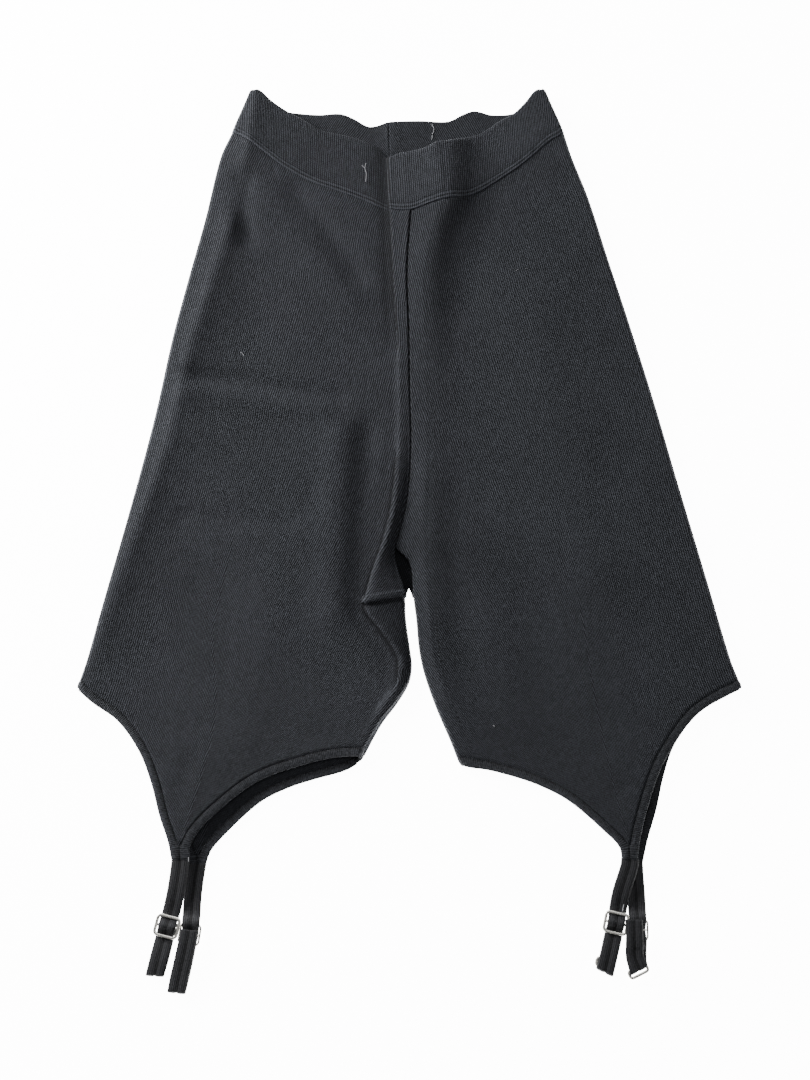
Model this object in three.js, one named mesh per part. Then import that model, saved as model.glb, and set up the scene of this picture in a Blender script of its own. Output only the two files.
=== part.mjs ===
import * as THREE from 'three';

// Knitted bike shorts with garter straps, laid flat and face up. Millimetres, +Z up.
// +Y points to the waist. Left and right are as seen from above, with the waist away.
// The underside of the back lies on z = 0.

// Driving sizes.
const LEG_WALL = 1.8;
const BAND_WALL = 2.8;
const BINDING_WALL = 2;
const BINDING_WIDTH = 5.5;
const SEAM_GAP = 0.3;
const FOLD_RADIUS = 1.9;
const BACK_LEVEL = LEG_WALL / 2;
const FRONT_LEVEL = BACK_LEVEL + 2 * FOLD_RADIUS;

// Front centre heights along Y: waist seam, crotch and the top of the leg binding.
const WAIST_Y = 226;
const BACK_WAIST_Y = 262;
const CROTCH_Y = -57;
const LEG_END_Y = -160;
const CROTCH_V = (WAIST_Y - CROTCH_Y) / (WAIST_Y - LEG_END_Y);

const TAPE_WALL = 1.4;
const TAPE_WIDTH = 11.2;
const METAL_BAR = 1.6;
const METAL_THICK = 1.4;
const SLIDER_LENGTH = 15;
const SLIDER_WIDTH = TAPE_WIDTH + 2 * METAL_BAR + 0.6;
const RING_LENGTH = 7;

const WAIST_SEAM = [
  { x: -131, y: 288 }, { x: -123, y: 284.5 }, { x: -107, y: 272.7 }, { x: -92, y: 261 },
  { x: -71, y: 249.3 }, { x: -50, y: 241.6 }, { x: -30, y: 233.8 }, { x: -14, y: 227.4 },
  { x: 1.4, y: WAIST_Y }, { x: 14, y: 230.5 }, { x: 28, y: 234.6 }, { x: 45, y: 238.5 },
  { x: 61, y: 247.8 }, { x: 79, y: 260.2 }, { x: 92, y: 271.1 }, { x: 102, y: 280.5 }, { x: 114, y: 288 },
];
const BAND_TOP = [
  { x: -118, y: 319.8 }, { x: -109, y: 318.6 }, { x: -103, y: 312.9 }, { x: -92, y: 305 },
  { x: -78, y: 297.1 },
  { x: -65, y: 289.2 }, { x: -55, y: 286.8 }, { x: -43, y: 284.1 }, { x: -27, y: 277.4 },
  { x: -15, y: 267 },
  { x: -8, y: 269.1 }, { x: 10, y: 272.3 }, { x: 20, y: 277 }, { x: 29, y: 278.5 }, { x: 53, y: 286.4 },
  { x: 66, y: 295.8 }, { x: 78, y: 302.9 }, { x: 87, y: 312.4 }, { x: 93, y: 319.5 }, { x: 101, y: 321.4 },
];
const BACK_WAIST = [
  { x: -131, y: 288 }, { x: -110, y: 276 }, { x: -80, y: 269 }, { x: -45, y: 265 },
  { x: -14, y: BACK_WAIST_Y }, { x: 30, y: 264 }, { x: 62, y: 268 }, { x: 92, y: 276 }, { x: 114, y: 288 },
];
const BACK_BAND_TOP = [
  { x: -118, y: 319.8 }, { x: -104, y: 309 }, { x: -90, y: 305.4 }, { x: -67, y: 303.2 },
  { x: -51, y: 304 },
  { x: -41, y: 300.1 }, { x: -31, y: 294.2 }, { x: -25, y: 294.2 }, { x: -14, y: 297.5 },
  { x: 8, y: 298.5 },
  { x: 29, y: 298 }, { x: 41, y: 304 }, { x: 49, y: 306.2 }, { x: 62, y: 303 }, { x: 78, y: 304.4 },
  { x: 90, y: 311 }, { x: 101, y: 321.4 },
];
// How far the band's top lies to the side of its foot.
const BAND_LEAN = [
  { x: -131, shift: 12.6 }, { x: -60, shift: 4 }, { x: 0, shift: -2.6 }, { x: 60, shift: -7.5 },
  { x: 115, shift: -13.3 },
];
const BACK_SEAM = [
  { y: BACK_WAIST_Y, x: -14 }, { y: 150, x: -8 }, { y: 50, x: -4 }, { y: -20, x: -1 }, { y: -50, x: -0.2 },
];

// One side of the shorts. Lines are read from the waist down: outer is the silhouette of the
// outer fold, inner is the front centre seam and then the inner leg, ridge is the raised fold
// beside it. Height columns: foot is the cloth beside the ridge, crest its top, seam the edge.
const LEFT = {
  name: 'left', sign: -1,
  outer: [
    { y: 288, x: -131 }, { y: 269, x: -139 }, { y: 222, x: -149 }, { y: 176, x: -160.2 },
    { y: 131, x: -170.6 },
    { y: 71, x: -182 }, { y: 0, x: -198.5 }, { y: -59, x: -213.3 }, { y: -101, x: -223.7 },
    { y: -115.5, x: -228.2 },
  ],
  inner: [
    { y: WAIST_Y, x: 1.4 }, { y: 194, x: -1 }, { y: 172, x: -1.6 }, { y: 147, x: -0.5 }, { y: 86, x: 0.6 },
    { y: 59, x: 1.3 }, { y: 32, x: 0.5 }, { y: 7, x: -2.3 }, { y: -14, x: -7.9 }, { y: -26, x: -10 },
    { y: -38, x: -7.6 }, { y: -50, x: -3.8 }, { y: CROTCH_Y, x: -2.8 }, { y: -72, x: -2.3 },
    { y: -93, x: 0.5 },
    { y: -105, x: 1.9 }, { y: -116, x: -0.2 }, { y: -129, x: -8.5 }, { y: -141, x: -18.5 },
    { y: LEG_END_Y, x: -30.5 },
  ],
  ridge: [
    { y: WAIST_Y, x: -12.8 }, { y: 203, x: -11.4 }, { y: 176, x: -10 }, { y: 149, x: -8.6 },
    { y: 125, x: -8 }, { y: 86, x: -7.6 }, { y: 59, x: -7.8 }, { y: 40, x: -8.4 }, { y: 22, x: -9.6 },
    { y: 0, x: -12.6 },
    { y: -22, x: -18.5 }, { y: -40, x: -24.6 }, { y: -55, x: -28.6 }, { y: -62, x: -30.6 },
    { y: -70, x: -27.5 },
    { y: -81, x: -18.6 }, { y: -92, x: -10.9 }, { y: -102, x: -6.4 }, { y: -116, x: -8 },
    { y: -129, x: -16 },
    { y: -145, x: -27.5 }, { y: LEG_END_Y, x: -38 },
  ],
  heights: [
    { y: 320, foot: 0, crest: 3.6, seam: 4.4 }, { y: 226, foot: 0, crest: 3.4, seam: 4.2 },
    { y: 176, foot: 0, crest: 2.6, seam: 2.9 }, { y: 125, foot: 0, crest: 1.3, seam: 1.5 },
    { y: 95, foot: 0, crest: 0.6, seam: 0.5 }, { y: 55, foot: 0, crest: 0.9, seam: 0.2 },
    { y: 22, foot: -0.3, crest: 3, seam: 0.6 }, { y: -20, foot: -0.8, crest: 5.8, seam: 1.6 },
    { y: -45, foot: -1, crest: 7.4, seam: 2 }, { y: -62, foot: -1, crest: 8, seam: 2.4 },
    { y: -80, foot: -0.8, crest: 6, seam: 2 }, { y: -100, foot: -0.4, crest: 3.2, seam: 1.2 },
    { y: -125, foot: 0, crest: 1.4, seam: 0.8 }, { y: LEG_END_Y, foot: 0, crest: 0.6, seam: 0.4 },
  ],
  frontHemInner: [
    { x: -32.6, y: -167 }, { x: -51, y: -168 }, { x: -75.3, y: -173.7 }, { x: -104.3, y: -184.5 },
    { x: -130.1, y: -203.9 }, { x: -143, y: -217 }, { x: -148.6, y: -226.5 }, { x: -149.2, y: -236.5 },
  ],
  frontHemOuter: [
    { x: -229.9, y: -120.6 }, { x: -218.4, y: -130.6 }, { x: -200.7, y: -142.9 }, { x: -184.9, y: -164.3 },
    { x: -176, y: -186 }, { x: -169.9, y: -207.6 }, { x: -163.6, y: -225 }, { x: -161, y: -236.5 },
  ],
  backHemInner: [
    { x: -32.6, y: -167 }, { x: -43.6, y: -173 }, { x: -65.5, y: -180.6 }, { x: -81.2, y: -186 },
    { x: -101, y: -196.9 }, { x: -124.5, y: -218.4 }, { x: -135.4, y: -231 }, { x: -138.2, y: -239 },
  ],
  backHemOuter: [
    { x: -229.9, y: -120.6 }, { x: -214, y: -131.5 }, { x: -197, y: -147 }, { x: -183, y: -168 },
    { x: -173, y: -190 }, { x: -163, y: -211 }, { x: -153.4, y: -227 }, { x: -149.9, y: -239 },
  ],
};
const RIGHT = {
  name: 'right', sign: 1,
  outer: [
    { y: 288, x: 114.6 }, { y: 269, x: 120.2 }, { y: 238, x: 131.4 }, { y: 192, x: 144.5 },
    { y: 146, x: 157.9 },
    { y: 86, x: 174.6 }, { y: 27, x: 189.7 }, { y: -45, x: 208.5 }, { y: -101, x: 223 },
    { y: -115.5, x: 228.2 },
  ],
  inner: [
    { y: WAIST_Y, x: 1.4 }, { y: 194, x: -1 }, { y: 172, x: -1.6 }, { y: 147, x: -0.5 }, { y: 86, x: 0.6 },
    { y: 59, x: 1.3 }, { y: 32, x: 0.5 }, { y: 7, x: -2.3 }, { y: -14, x: -7.9 }, { y: -23, x: -9 },
    { y: -30, x: -1.4 }, { y: -38, x: 1.6 }, { y: CROTCH_Y, x: 2.8 }, { y: -72, x: 4.7 },
    { y: -93, x: 6.7 },
    { y: -109, x: 10.2 }, { y: -131, x: 18.4 }, { y: -152, x: 28.7 }, { y: LEG_END_Y, x: 32.4 },
  ],
  ridge: [
    { y: WAIST_Y, x: 27 }, { y: 208, x: 19.5 }, { y: 172, x: 12 }, { y: 136, x: 13 }, { y: 59, x: 14 },
    { y: -26, x: 12 }, { y: CROTCH_Y, x: 15 }, { y: -93, x: 18 }, { y: -120, x: 25 },
    { y: LEG_END_Y, x: 42 },
  ],
  heights: [
    { y: 320, foot: 5.2, crest: 5.8, seam: 4.4 }, { y: 226, foot: 4.8, crest: 5.4, seam: 4.2 },
    { y: 176, foot: 3.2, crest: 3.8, seam: 2.9 }, { y: 125, foot: 1.8, crest: 2.2, seam: 1.5 },
    { y: 95, foot: 0.9, crest: 1, seam: 0.5 }, { y: 55, foot: 0.4, crest: 0.4, seam: 0.2 },
    { y: 22, foot: 0.4, crest: 0.5, seam: 0.6 }, { y: -20, foot: 0.6, crest: 0.8, seam: 1.6 },
    { y: -45, foot: 0.9, crest: 1, seam: 2 }, { y: -62, foot: 0.9, crest: 1, seam: 1.6 },
    { y: -100, foot: 0.5, crest: 0.6, seam: 0.6 }, { y: LEG_END_Y, foot: 0.3, crest: 0.3, seam: 0.3 },
  ],
  frontHemInner: [
    { x: 35, y: -168.6 }, { x: 48.6, y: -174.9 }, { x: 73.3, y: -180.4 }, { x: 89, y: -186 },
    { x: 108.7, y: -196.9 }, { x: 133.5, y: -218.4 }, { x: 142.6, y: -228 }, { x: 144.2, y: -236.5 },
  ],
  frontHemOuter: [
    { x: 230, y: -120.6 }, { x: 210.7, y: -130 }, { x: 196.6, y: -139.9 }, { x: 185.9, y: -152.9 },
    { x: 172.5, y: -174.4 }, { x: 163, y: -199.6 }, { x: 156.6, y: -222.3 }, { x: 154.4, y: -236.5 },
  ],
  backHemInner: [
    { x: 35, y: -168.6 }, { x: 60, y: -174 }, { x: 90, y: -183.5 }, { x: 112, y: -196 },
    { x: 131, y: -211 }, { x: 143.4, y: -225 }, { x: 146.9, y: -239 },
  ],
  backHemOuter: [
    { x: 230, y: -120.6 }, { x: 219.5, y: -125.8 }, { x: 200.5, y: -136.9 }, { x: 182.5, y: -158.8 },
    { x: 174.2, y: -180.6 }, { x: 168.8, y: -202.3 }, { x: 162, y: -223.7 }, { x: 158.2, y: -239 },
  ],
};

// Soft creases on the front, each a straight trough (depth below 0) or ridge (above 0).
const CREASES = [
  { x1: -157, y1: 103, x2: -121, y2: 99, x3: -57, y3: 88, width: 5, depth: -1.1 },
  { x1: -155, y1: 90, x2: -121, y2: 87, x3: -70, y3: 80, width: 7, depth: 0.7 },
  { x1: -159, y1: 1, x2: -126, y2: -1, x3: -85, y3: -5, width: 5, depth: -0.5 },
  { x1: -80, y1: 235, x2: -65, y2: 220, x3: -47, y3: 200, width: 9, depth: -1.2 },
  { x1: -122, y1: 250, x2: -126, y2: 228, x3: -122, y3: 212, width: 8, depth: -1.3 },
  { x1: 150, y1: -186, x2: 143, y2: -192, x3: 137, y3: -198, width: 4, depth: -0.5 },
];
// The pressed line beside the left outer fold.
const PRESS_LINE = [
  { y: 307, x: -113.8 }, { y: 236, x: -125 }, { y: 177, x: -141 }, { y: 122, x: -156.5 },
  { y: 47, x: -172.4 },
  { y: -29, x: -197 }, { y: -86, x: -214.4 }, { y: -112, x: -220.5 },
];
const PRESS_HEIGHT = [{ y: 307, x: 1.4 }, { y: 200, x: 1.6 }, { y: 60, x: 1.1 }, { y: -112, x: 0.5 }];

// Garter straps: plan points from the hem down to the folded end. front is true where the
// slider faces up. Distances slider and end run along the path. start is the height at the
// hem, kept until ramp before the slider, and home is where the tape's sewn end lies.
// slant turns the folded end.
const STRAPS = [
  {
    name: 'left_front', front: true, start: 5, ramp: 22, slider: 44.5, home: 41.5, end: 78.3, slant: -0.16,
    path: [
      { x: -155.1, y: -237 }, { x: -155.9, y: -246 }, { x: -158.4, y: -262 }, { x: -163.2, y: -281 },
      { x: -171.4, y: -316 },
    ],
  },
  {
    name: 'left_back', front: false, start: 1.1, ramp: 14, slider: 46.5, home: 43.5, end: 86, slant: -0.1,
    path: [
      { x: -144, y: -239.6 }, { x: -145.2, y: -250 }, { x: -146.2, y: -262 }, { x: -147.2, y: -284 },
      { x: -156.6, y: -327 },
    ],
  },
  {
    name: 'right_front', front: true, start: 5, ramp: 22, slider: 42.4, home: 39.4, end: 76.4, slant: 0.2,
    path: [
      { x: 149.3, y: -237.4 }, { x: 148.9, y: -241 }, { x: 147.2, y: -246 }, { x: 142.8, y: -259 },
      { x: 139, y: -278.5 }, { x: 129.6, y: -315 },
    ],
  },
  {
    name: 'right_back', front: false, start: 1.1, ramp: 14, slider: 43.5, home: 36.5, end: 71, slant: -0.5,
    path: [
      { x: 152.6, y: -239.6 }, { x: 153, y: -250 }, { x: 153.6, y: -262 }, { x: 153.6, y: -282 },
      { x: 153.4, y: -313 },
    ],
  },
];
// The metal end rings: threaded through the fold, or lying askew between the layers.
const RINGS = [
  { strap: 'right_back', threaded: true, width: 17, aside: 0, turn: 0.46 },
  { strap: 'right_front', threaded: false, width: 13, aside: -3.2, turn: 0.1 },
];

// Cubic interpolation of column `value` over column `key` of a table.
function along(table, key, value, at) {
  const rising = table[0][key] < table[table.length - 1][key];
  const rows = rising ? table : [...table].reverse();
  const last = rows.length - 1;
  if (at <= rows[0][key]) return rows[0][value];
  if (at >= rows[last][key]) return rows[last][value];
  let i = 0;
  while (rows[i + 1][key] < at) i += 1;
  const span = rows[i + 1][key] - rows[i][key];
  const slope = (k) => {
    const before = rows[Math.max(0, k - 1)];
    const after = rows[Math.min(last, k + 1)];
    return (after[value] - before[value]) / (after[key] - before[key]);
  };
  const t = (at - rows[i][key]) / span;
  const t2 = t * t;
  const t3 = t2 * t;
  return (2 * t3 - 3 * t2 + 1) * rows[i][value] + (t3 - 2 * t2 + t) * span * slope(i)
    + (3 * t2 - 2 * t3) * rows[i + 1][value] + (t3 - t2) * span * slope(i + 1);
}

const mix = (a, b, t) => a + (b - a) * t;
const mixPoint = (p, q, t) => ({ x: mix(p.x, q.x, t), y: mix(p.y, q.y, t) });
const clamp01 = (t) => Math.min(1, Math.max(0, t));
const smooth = (t) => clamp01(t) ** 2 * (3 - 2 * clamp01(t));

// A smooth plan curve through table points, read by its share of arc length.
function planCurve(points) {
  const corners = points.map((p) => new THREE.Vector3(p.x, p.y, 0));
  const curve = new THREE.CatmullRomCurve3(corners, false, 'centripetal');
  curve.arcLengthDivisions = 400;
  return curve;
}

// The same curve moved sideways by `distance`, to its left as it is walked.
function offsetAt(curve, share, distance) {
  const p = curve.getPointAt(share);
  const t = curve.getTangentAt(share);
  return { x: p.x - t.y * distance, y: p.y + t.x * distance };
}

// Distance from a point to a bent line of three table points.
function distanceToCrease(x, y, c) {
  const segment = (ax, ay, bx, by) => {
    const t = clamp01(((x - ax) * (bx - ax) + (y - ay) * (by - ay)) / ((bx - ax) ** 2 + (by - ay) ** 2));
    return Math.hypot(x - mix(ax, bx, t), y - mix(ay, by, t));
  };
  return Math.min(segment(c.x1, c.y1, c.x2, c.y2), segment(c.x2, c.y2, c.x3, c.y3));
}

// Height of the front cloth over its level, from the soft creases and the pressed line.
function creaseHeight(x, y) {
  let height = 0;
  for (const crease of CREASES) {
    height += crease.depth * Math.exp(-((distanceToCrease(x, y, crease) / crease.width) ** 2));
  }
  if (x < 0) {
    const beside = x - along(PRESS_LINE, 'y', 'x', y);
    const reach = beside < 0 ? 12 : 16;
    height += along(PRESS_HEIGHT, 'y', 'x', y) * Math.exp(-Math.abs(beside) / reach);
  }
  return height;
}

// Columns across one side, as shares of each stretch. Both layers use the hem's two arcs.
// A neck is the share at which the cloth between the two arcs ends, close above the strap.
const INNER_ARC_SHARES = [0.07, 0.17, 0.29, 0.42, 0.56, 0.7, 0.82, 0.9];
const OUTER_ARC_SHARES = [0.88, 0.8, 0.68, 0.53, 0.38, 0.24, 0.11, 0.03];
const FRONT_NECK = 0.94;
const BACK_NECK = 0.968;
const TAIL_STEPS = [0.35, 1];
const FOLD_ANGLES = [0, Math.PI / 4];
const RIDGE_STEP = 1.7;

// Rows down the leg, as shares from the waist seam to the top of the binding.
const LEG_ROWS = [
  0, 0.04, 0.09, 0.15, 0.21, 0.27, 0.33, 0.39, 0.45, 0.51, 0.57, 0.62, 0.66, 0.695, CROTCH_V,
  0.755, 0.785, 0.82, 0.86, 0.91, 0.96, 1,
];

// Rows up the band, and rows across a binding from its upper line to the hem.
const BAND_ROWS = [-0.012, -0.3, -0.65, -1];
const BINDING_ROWS = [0.08, 0.5, 1];
const BAND_LIFT = (BAND_WALL - LEG_WALL) / 2;
const BINDING_LIFT = (BINDING_WALL - LEG_WALL) / 2;

// The y of the inner edge at a share down the leg, for the front or back layer.
function innerY(v, back) {
  if (!back || v >= CROTCH_V) return mix(WAIST_Y, LEG_END_Y, v);
  return mix(BACK_WAIST_Y, CROTCH_Y, v / CROTCH_V);
}

// The inner edge in plan. Above the crotch it is half a seam gap from the centre seam.
function innerEdge(side, v, back) {
  const y = innerY(v, back);
  const below = v >= CROTCH_V - 1e-9;
  const inset = side.sign * (below ? LEG_WALL / 2 : SEAM_GAP / 2);
  if (back && !below) {
    const turn = smooth((-38 - y) / 19) * side.sign * 2.4;
    return { x: along(BACK_SEAM, 'y', 'x', y) + inset + turn, y };
  }
  return { x: along(side.inner, 'y', 'x', y) + inset, y };
}

// The outer fold in plan, as the line where the flat layers begin to turn.
function outerEdge(side, v) {
  const y = mix(side.outer[0].y, side.outer[side.outer.length - 1].y, v);
  return { x: along(side.outer, 'y', 'x', y) - side.sign * LEG_WALL / 2, y };
}

// The binding's upper line for one layer: shares along the arcs give plan points.
function hemLines(side, back) {
  const inner = planCurve(back ? side.backHemInner : side.frontHemInner);
  const outer = planCurve(back ? side.backHemOuter : side.frontHemOuter);
  const inset = BINDING_WIDTH + SEAM_GAP;
  return {
    innerHem: (share) => offsetAt(inner, share, 0),
    outerHem: (share) => offsetAt(outer, share, 0),
    innerTop: (share) => offsetAt(inner, share, side.sign * inset),
    outerTop: (share) => offsetAt(outer, share, -side.sign * inset),
  };
}

// Column list of one layer, from the inner edge to the outer fold.
function layerColumns(back) {
  const columns = FOLD_ANGLES.map((angle) => ({ part: 'innerFold', angle }));
  columns.push({ part: 'strip', share: 0 });
  if (!back) {
    columns.push({ part: 'strip', share: 0.45 }, { part: 'stripStep' });
    columns.push({ part: 'ridge' }, { part: 'footStep' });
  }
  const neck = back ? BACK_NECK : FRONT_NECK;
  for (const share of [...INNER_ARC_SHARES, neck]) columns.push({ part: 'innerArc', share });
  for (const share of [neck, ...OUTER_ARC_SHARES]) columns.push({ part: 'outerArc', share });
  columns.push({ part: 'outerStart' });
  for (const angle of [...FOLD_ANGLES].reverse()) columns.push({ part: 'outerFold', angle });
  return columns;
}

// The x of a column of the strip between the inner edge and the foot of the ridge.
function stripX(side, column, startX, y, back) {
  const ridgeX = back ? startX : along(side.ridge, 'y', 'x', y);
  if (column.part === 'strip') return mix(startX, ridgeX - side.sign * RIDGE_STEP, column.share);
  if (column.part === 'stripStep') return ridgeX - side.sign * RIDGE_STEP;
  if (column.part === 'ridge') return ridgeX;
  return ridgeX + side.sign * RIDGE_STEP;
}

// The y of the leg's lower edge between the inner fold and the first column of the hem's arc.
function cornerTopY(side, lines, x) {
  const corner = lines.innerTop(0);
  const first = lines.innerTop(INNER_ARC_SHARES[0]);
  return mix(corner.y, first.y, clamp01((x - corner.x) / (first.x - corner.x)));
}

// Plan point of one column at share v down the leg (0 to 1) or up the band (0 to -1).
function planPoint(side, column, v, back, lines) {
  const s = side.sign;
  const legV = Math.max(0, v);
  const top = back ? BACK_WAIST : WAIST_SEAM;
  const edge = innerEdge(side, legV, back);
  const outerMid = outerEdge(side, legV);
  const innerStart = { x: edge.x + s * FOLD_RADIUS, y: edge.y };
  const outerStart = { x: outerMid.x - s * FOLD_RADIUS, y: outerMid.y };
  const ridge = back ? innerStart : { x: along(side.ridge, 'y', 'x', edge.y), y: edge.y };
  if (column.part === 'innerFold') {
    const x = edge.x + s * FOLD_RADIUS * (1 - Math.cos(column.angle));
    return { x, y: edge.y + legV ** 12 * (cornerTopY(side, lines, x) - LEG_END_Y) };
  }
  if (column.part === 'outerFold') {
    return { x: outerMid.x - s * FOLD_RADIUS * (1 - Math.cos(column.angle)), y: outerMid.y };
  }
  if (column.part === 'outerStart') return outerStart;
  const isArc = column.part === 'innerArc' || column.part === 'outerArc';
  if (!isArc) {
    const topY = back ? BACK_WAIST_Y : WAIST_Y;
    const x = stripX(side, column, innerStart.x, edge.y, back);
    const topX = stripX(side, column, innerEdge(side, 0, back).x + s * FOLD_RADIUS, topY, back);
    const topRise = (1 - legV) ** 2 * (along(top, 'x', 'y', topX) - topY);
    return { x, y: edge.y + topRise + legV ** 12 * (cornerTopY(side, lines, x) - LEG_END_Y) };
  }
  const isInner = column.part === 'innerArc';
  const hemPoint = isInner ? lines.innerTop(column.share) : lines.outerTop(column.share);
  const start = back ? innerStart : { x: ridge.x + s * RIDGE_STEP, y: ridge.y };
  const across = column.across;
  const straight = mixPoint(start, outerStart, across);
  const endStart = column.ends.start;
  const endOuter = column.ends.outer;
  const endStraight = mixPoint(endStart, endOuter, across);
  const topStart = column.tops.start;
  const topOuter = column.tops.outer;
  const topX = mix(topStart.x, topOuter.x, across);
  const topDeviation = along(top, 'x', 'y', topX) - mix(topStart.y, topOuter.y, across);
  const down = legV ** 2.4;
  return {
    x: straight.x + down * (hemPoint.x - endStraight.x),
    y: straight.y + (1 - legV) ** 2 * topDeviation + down * (hemPoint.y - endStraight.y),
  };
}

// Gives each arc column its share across the layer and the ends of the rows it lies between.
function prepareColumns(side, back) {
  const lines = hemLines(side, back);
  const columns = layerColumns(back);
  const s = side.sign;
  const startOf = (v) => {
    const edge = innerEdge(side, v, back);
    if (back) return { x: edge.x + s * FOLD_RADIUS, y: edge.y };
    return { x: along(side.ridge, 'y', 'x', edge.y) + s * RIDGE_STEP, y: edge.y };
  };
  const outerOf = (v) => {
    const outer = outerEdge(side, v);
    return { x: outer.x - s * FOLD_RADIUS, y: outer.y };
  };
  const ends = { start: startOf(1), outer: outerOf(1) };
  const tops = { start: startOf(0), outer: outerOf(0) };
  const spanX = ends.outer.x - ends.start.x;
  for (const column of columns) {
    if (column.part !== 'innerArc' && column.part !== 'outerArc') continue;
    const hem = column.part === 'innerArc' ? lines.innerTop(column.share) : lines.outerTop(column.share);
    column.across = clamp01((hem.x - ends.start.x) / spanX);
    column.ends = ends;
    column.tops = tops;
  }
  return { columns, lines };
}

// Height of the front layer's middle over the floor.
function frontHeight(side, column, p, ridgeX, v) {
  const y = Math.min(320, Math.max(LEG_END_Y, p.y));
  const level = (name) => along(side.heights, 'y', name, y);
  let lift;
  if (column.part === 'innerFold' || column.part === 'strip') {
    const share = column.part === 'strip' ? column.share : 0;
    lift = mix(level('seam'), level('crest'), share ** 0.8);
  } else if (column.part === 'stripStep') {
    lift = level('crest');
  } else if (column.part === 'ridge') {
    lift = mix(level('foot'), level('crest'), 0.55);
  } else {
    const beside = Math.max(0, Math.abs(p.x - ridgeX) - RIDGE_STEP);
    lift = level('foot') * (side.sign > 0 ? 0.45 * Math.exp(-((beside / 9) ** 2)) + 0.55 * Math.exp(-beside / 26)
      : Math.exp(-beside / 14));
  }
  const hemFade = 1 - 0.75 * smooth((v - 0.9) / 0.1);
  return FRONT_LEVEL + (lift + creaseHeight(p.x, p.y)) * hemFade;
}

// One ring of columns across a side at share v: front from the inner edge out, then the back.
function ringPoints(side, front, back, v, lift) {
  const points = [];
  const middle = (FRONT_LEVEL + BACK_LEVEL) / 2;
  const legV = Math.max(0, v);
  const closed = v >= CROTCH_V - 1e-9;
  const frontFold = closed ? 1 : 0.35 * smooth((legV - CROTCH_V + 0.07) / 0.07);
  const backFold = closed ? 1 : 0;
  const band = v < 0 ? -v : 0;
  const bandMove = (p, isBack) => {
    if (band === 0) return p;
    const topTable = isBack ? BACK_BAND_TOP : BAND_TOP;
    const lowTable = isBack ? BACK_WAIST : WAIST_SEAM;
    const topX = p.x + along(BAND_LEAN, 'x', 'shift', p.x);
    const rise = along(topTable, 'x', 'y', topX) - along(lowTable, 'x', 'y', p.x);
    return { x: mix(p.x, topX, band), y: p.y + band * rise };
  };
  for (const column of front.columns) {
    const base = planPoint(side, column, v, false, front.lines);
    const p = bandMove(base, false);
    const ridgeX = along(side.ridge, 'y', 'x', innerY(legV, false));
    let z = frontHeight(side, column, p, ridgeX, v);
    if (column.part === 'innerFold') z = mix(z, mix(middle, z, Math.sin(column.angle)), frontFold);
    if (column.part === 'outerFold') z = mix(middle, z, Math.sin(column.angle));
    points.push(new THREE.Vector3(p.x, p.y, z + lift));
  }
  const backColumns = [...back.columns].reverse();
  for (const column of backColumns) {
    if (column.part === 'outerFold' && column.angle === 0) continue;
    const p = bandMove(planPoint(side, column, v, true, back.lines), true);
    let z = BACK_LEVEL;
    if (column.part === 'outerFold') z = mix(middle, BACK_LEVEL, Math.sin(column.angle));
    if (column.part === 'innerFold') {
      z = mix(BACK_LEVEL, mix(middle, BACK_LEVEL, Math.sin(column.angle)), backFold);
    }
    points.push(new THREE.Vector3(p.x, p.y, z + lift));
  }
  return points;
}

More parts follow.
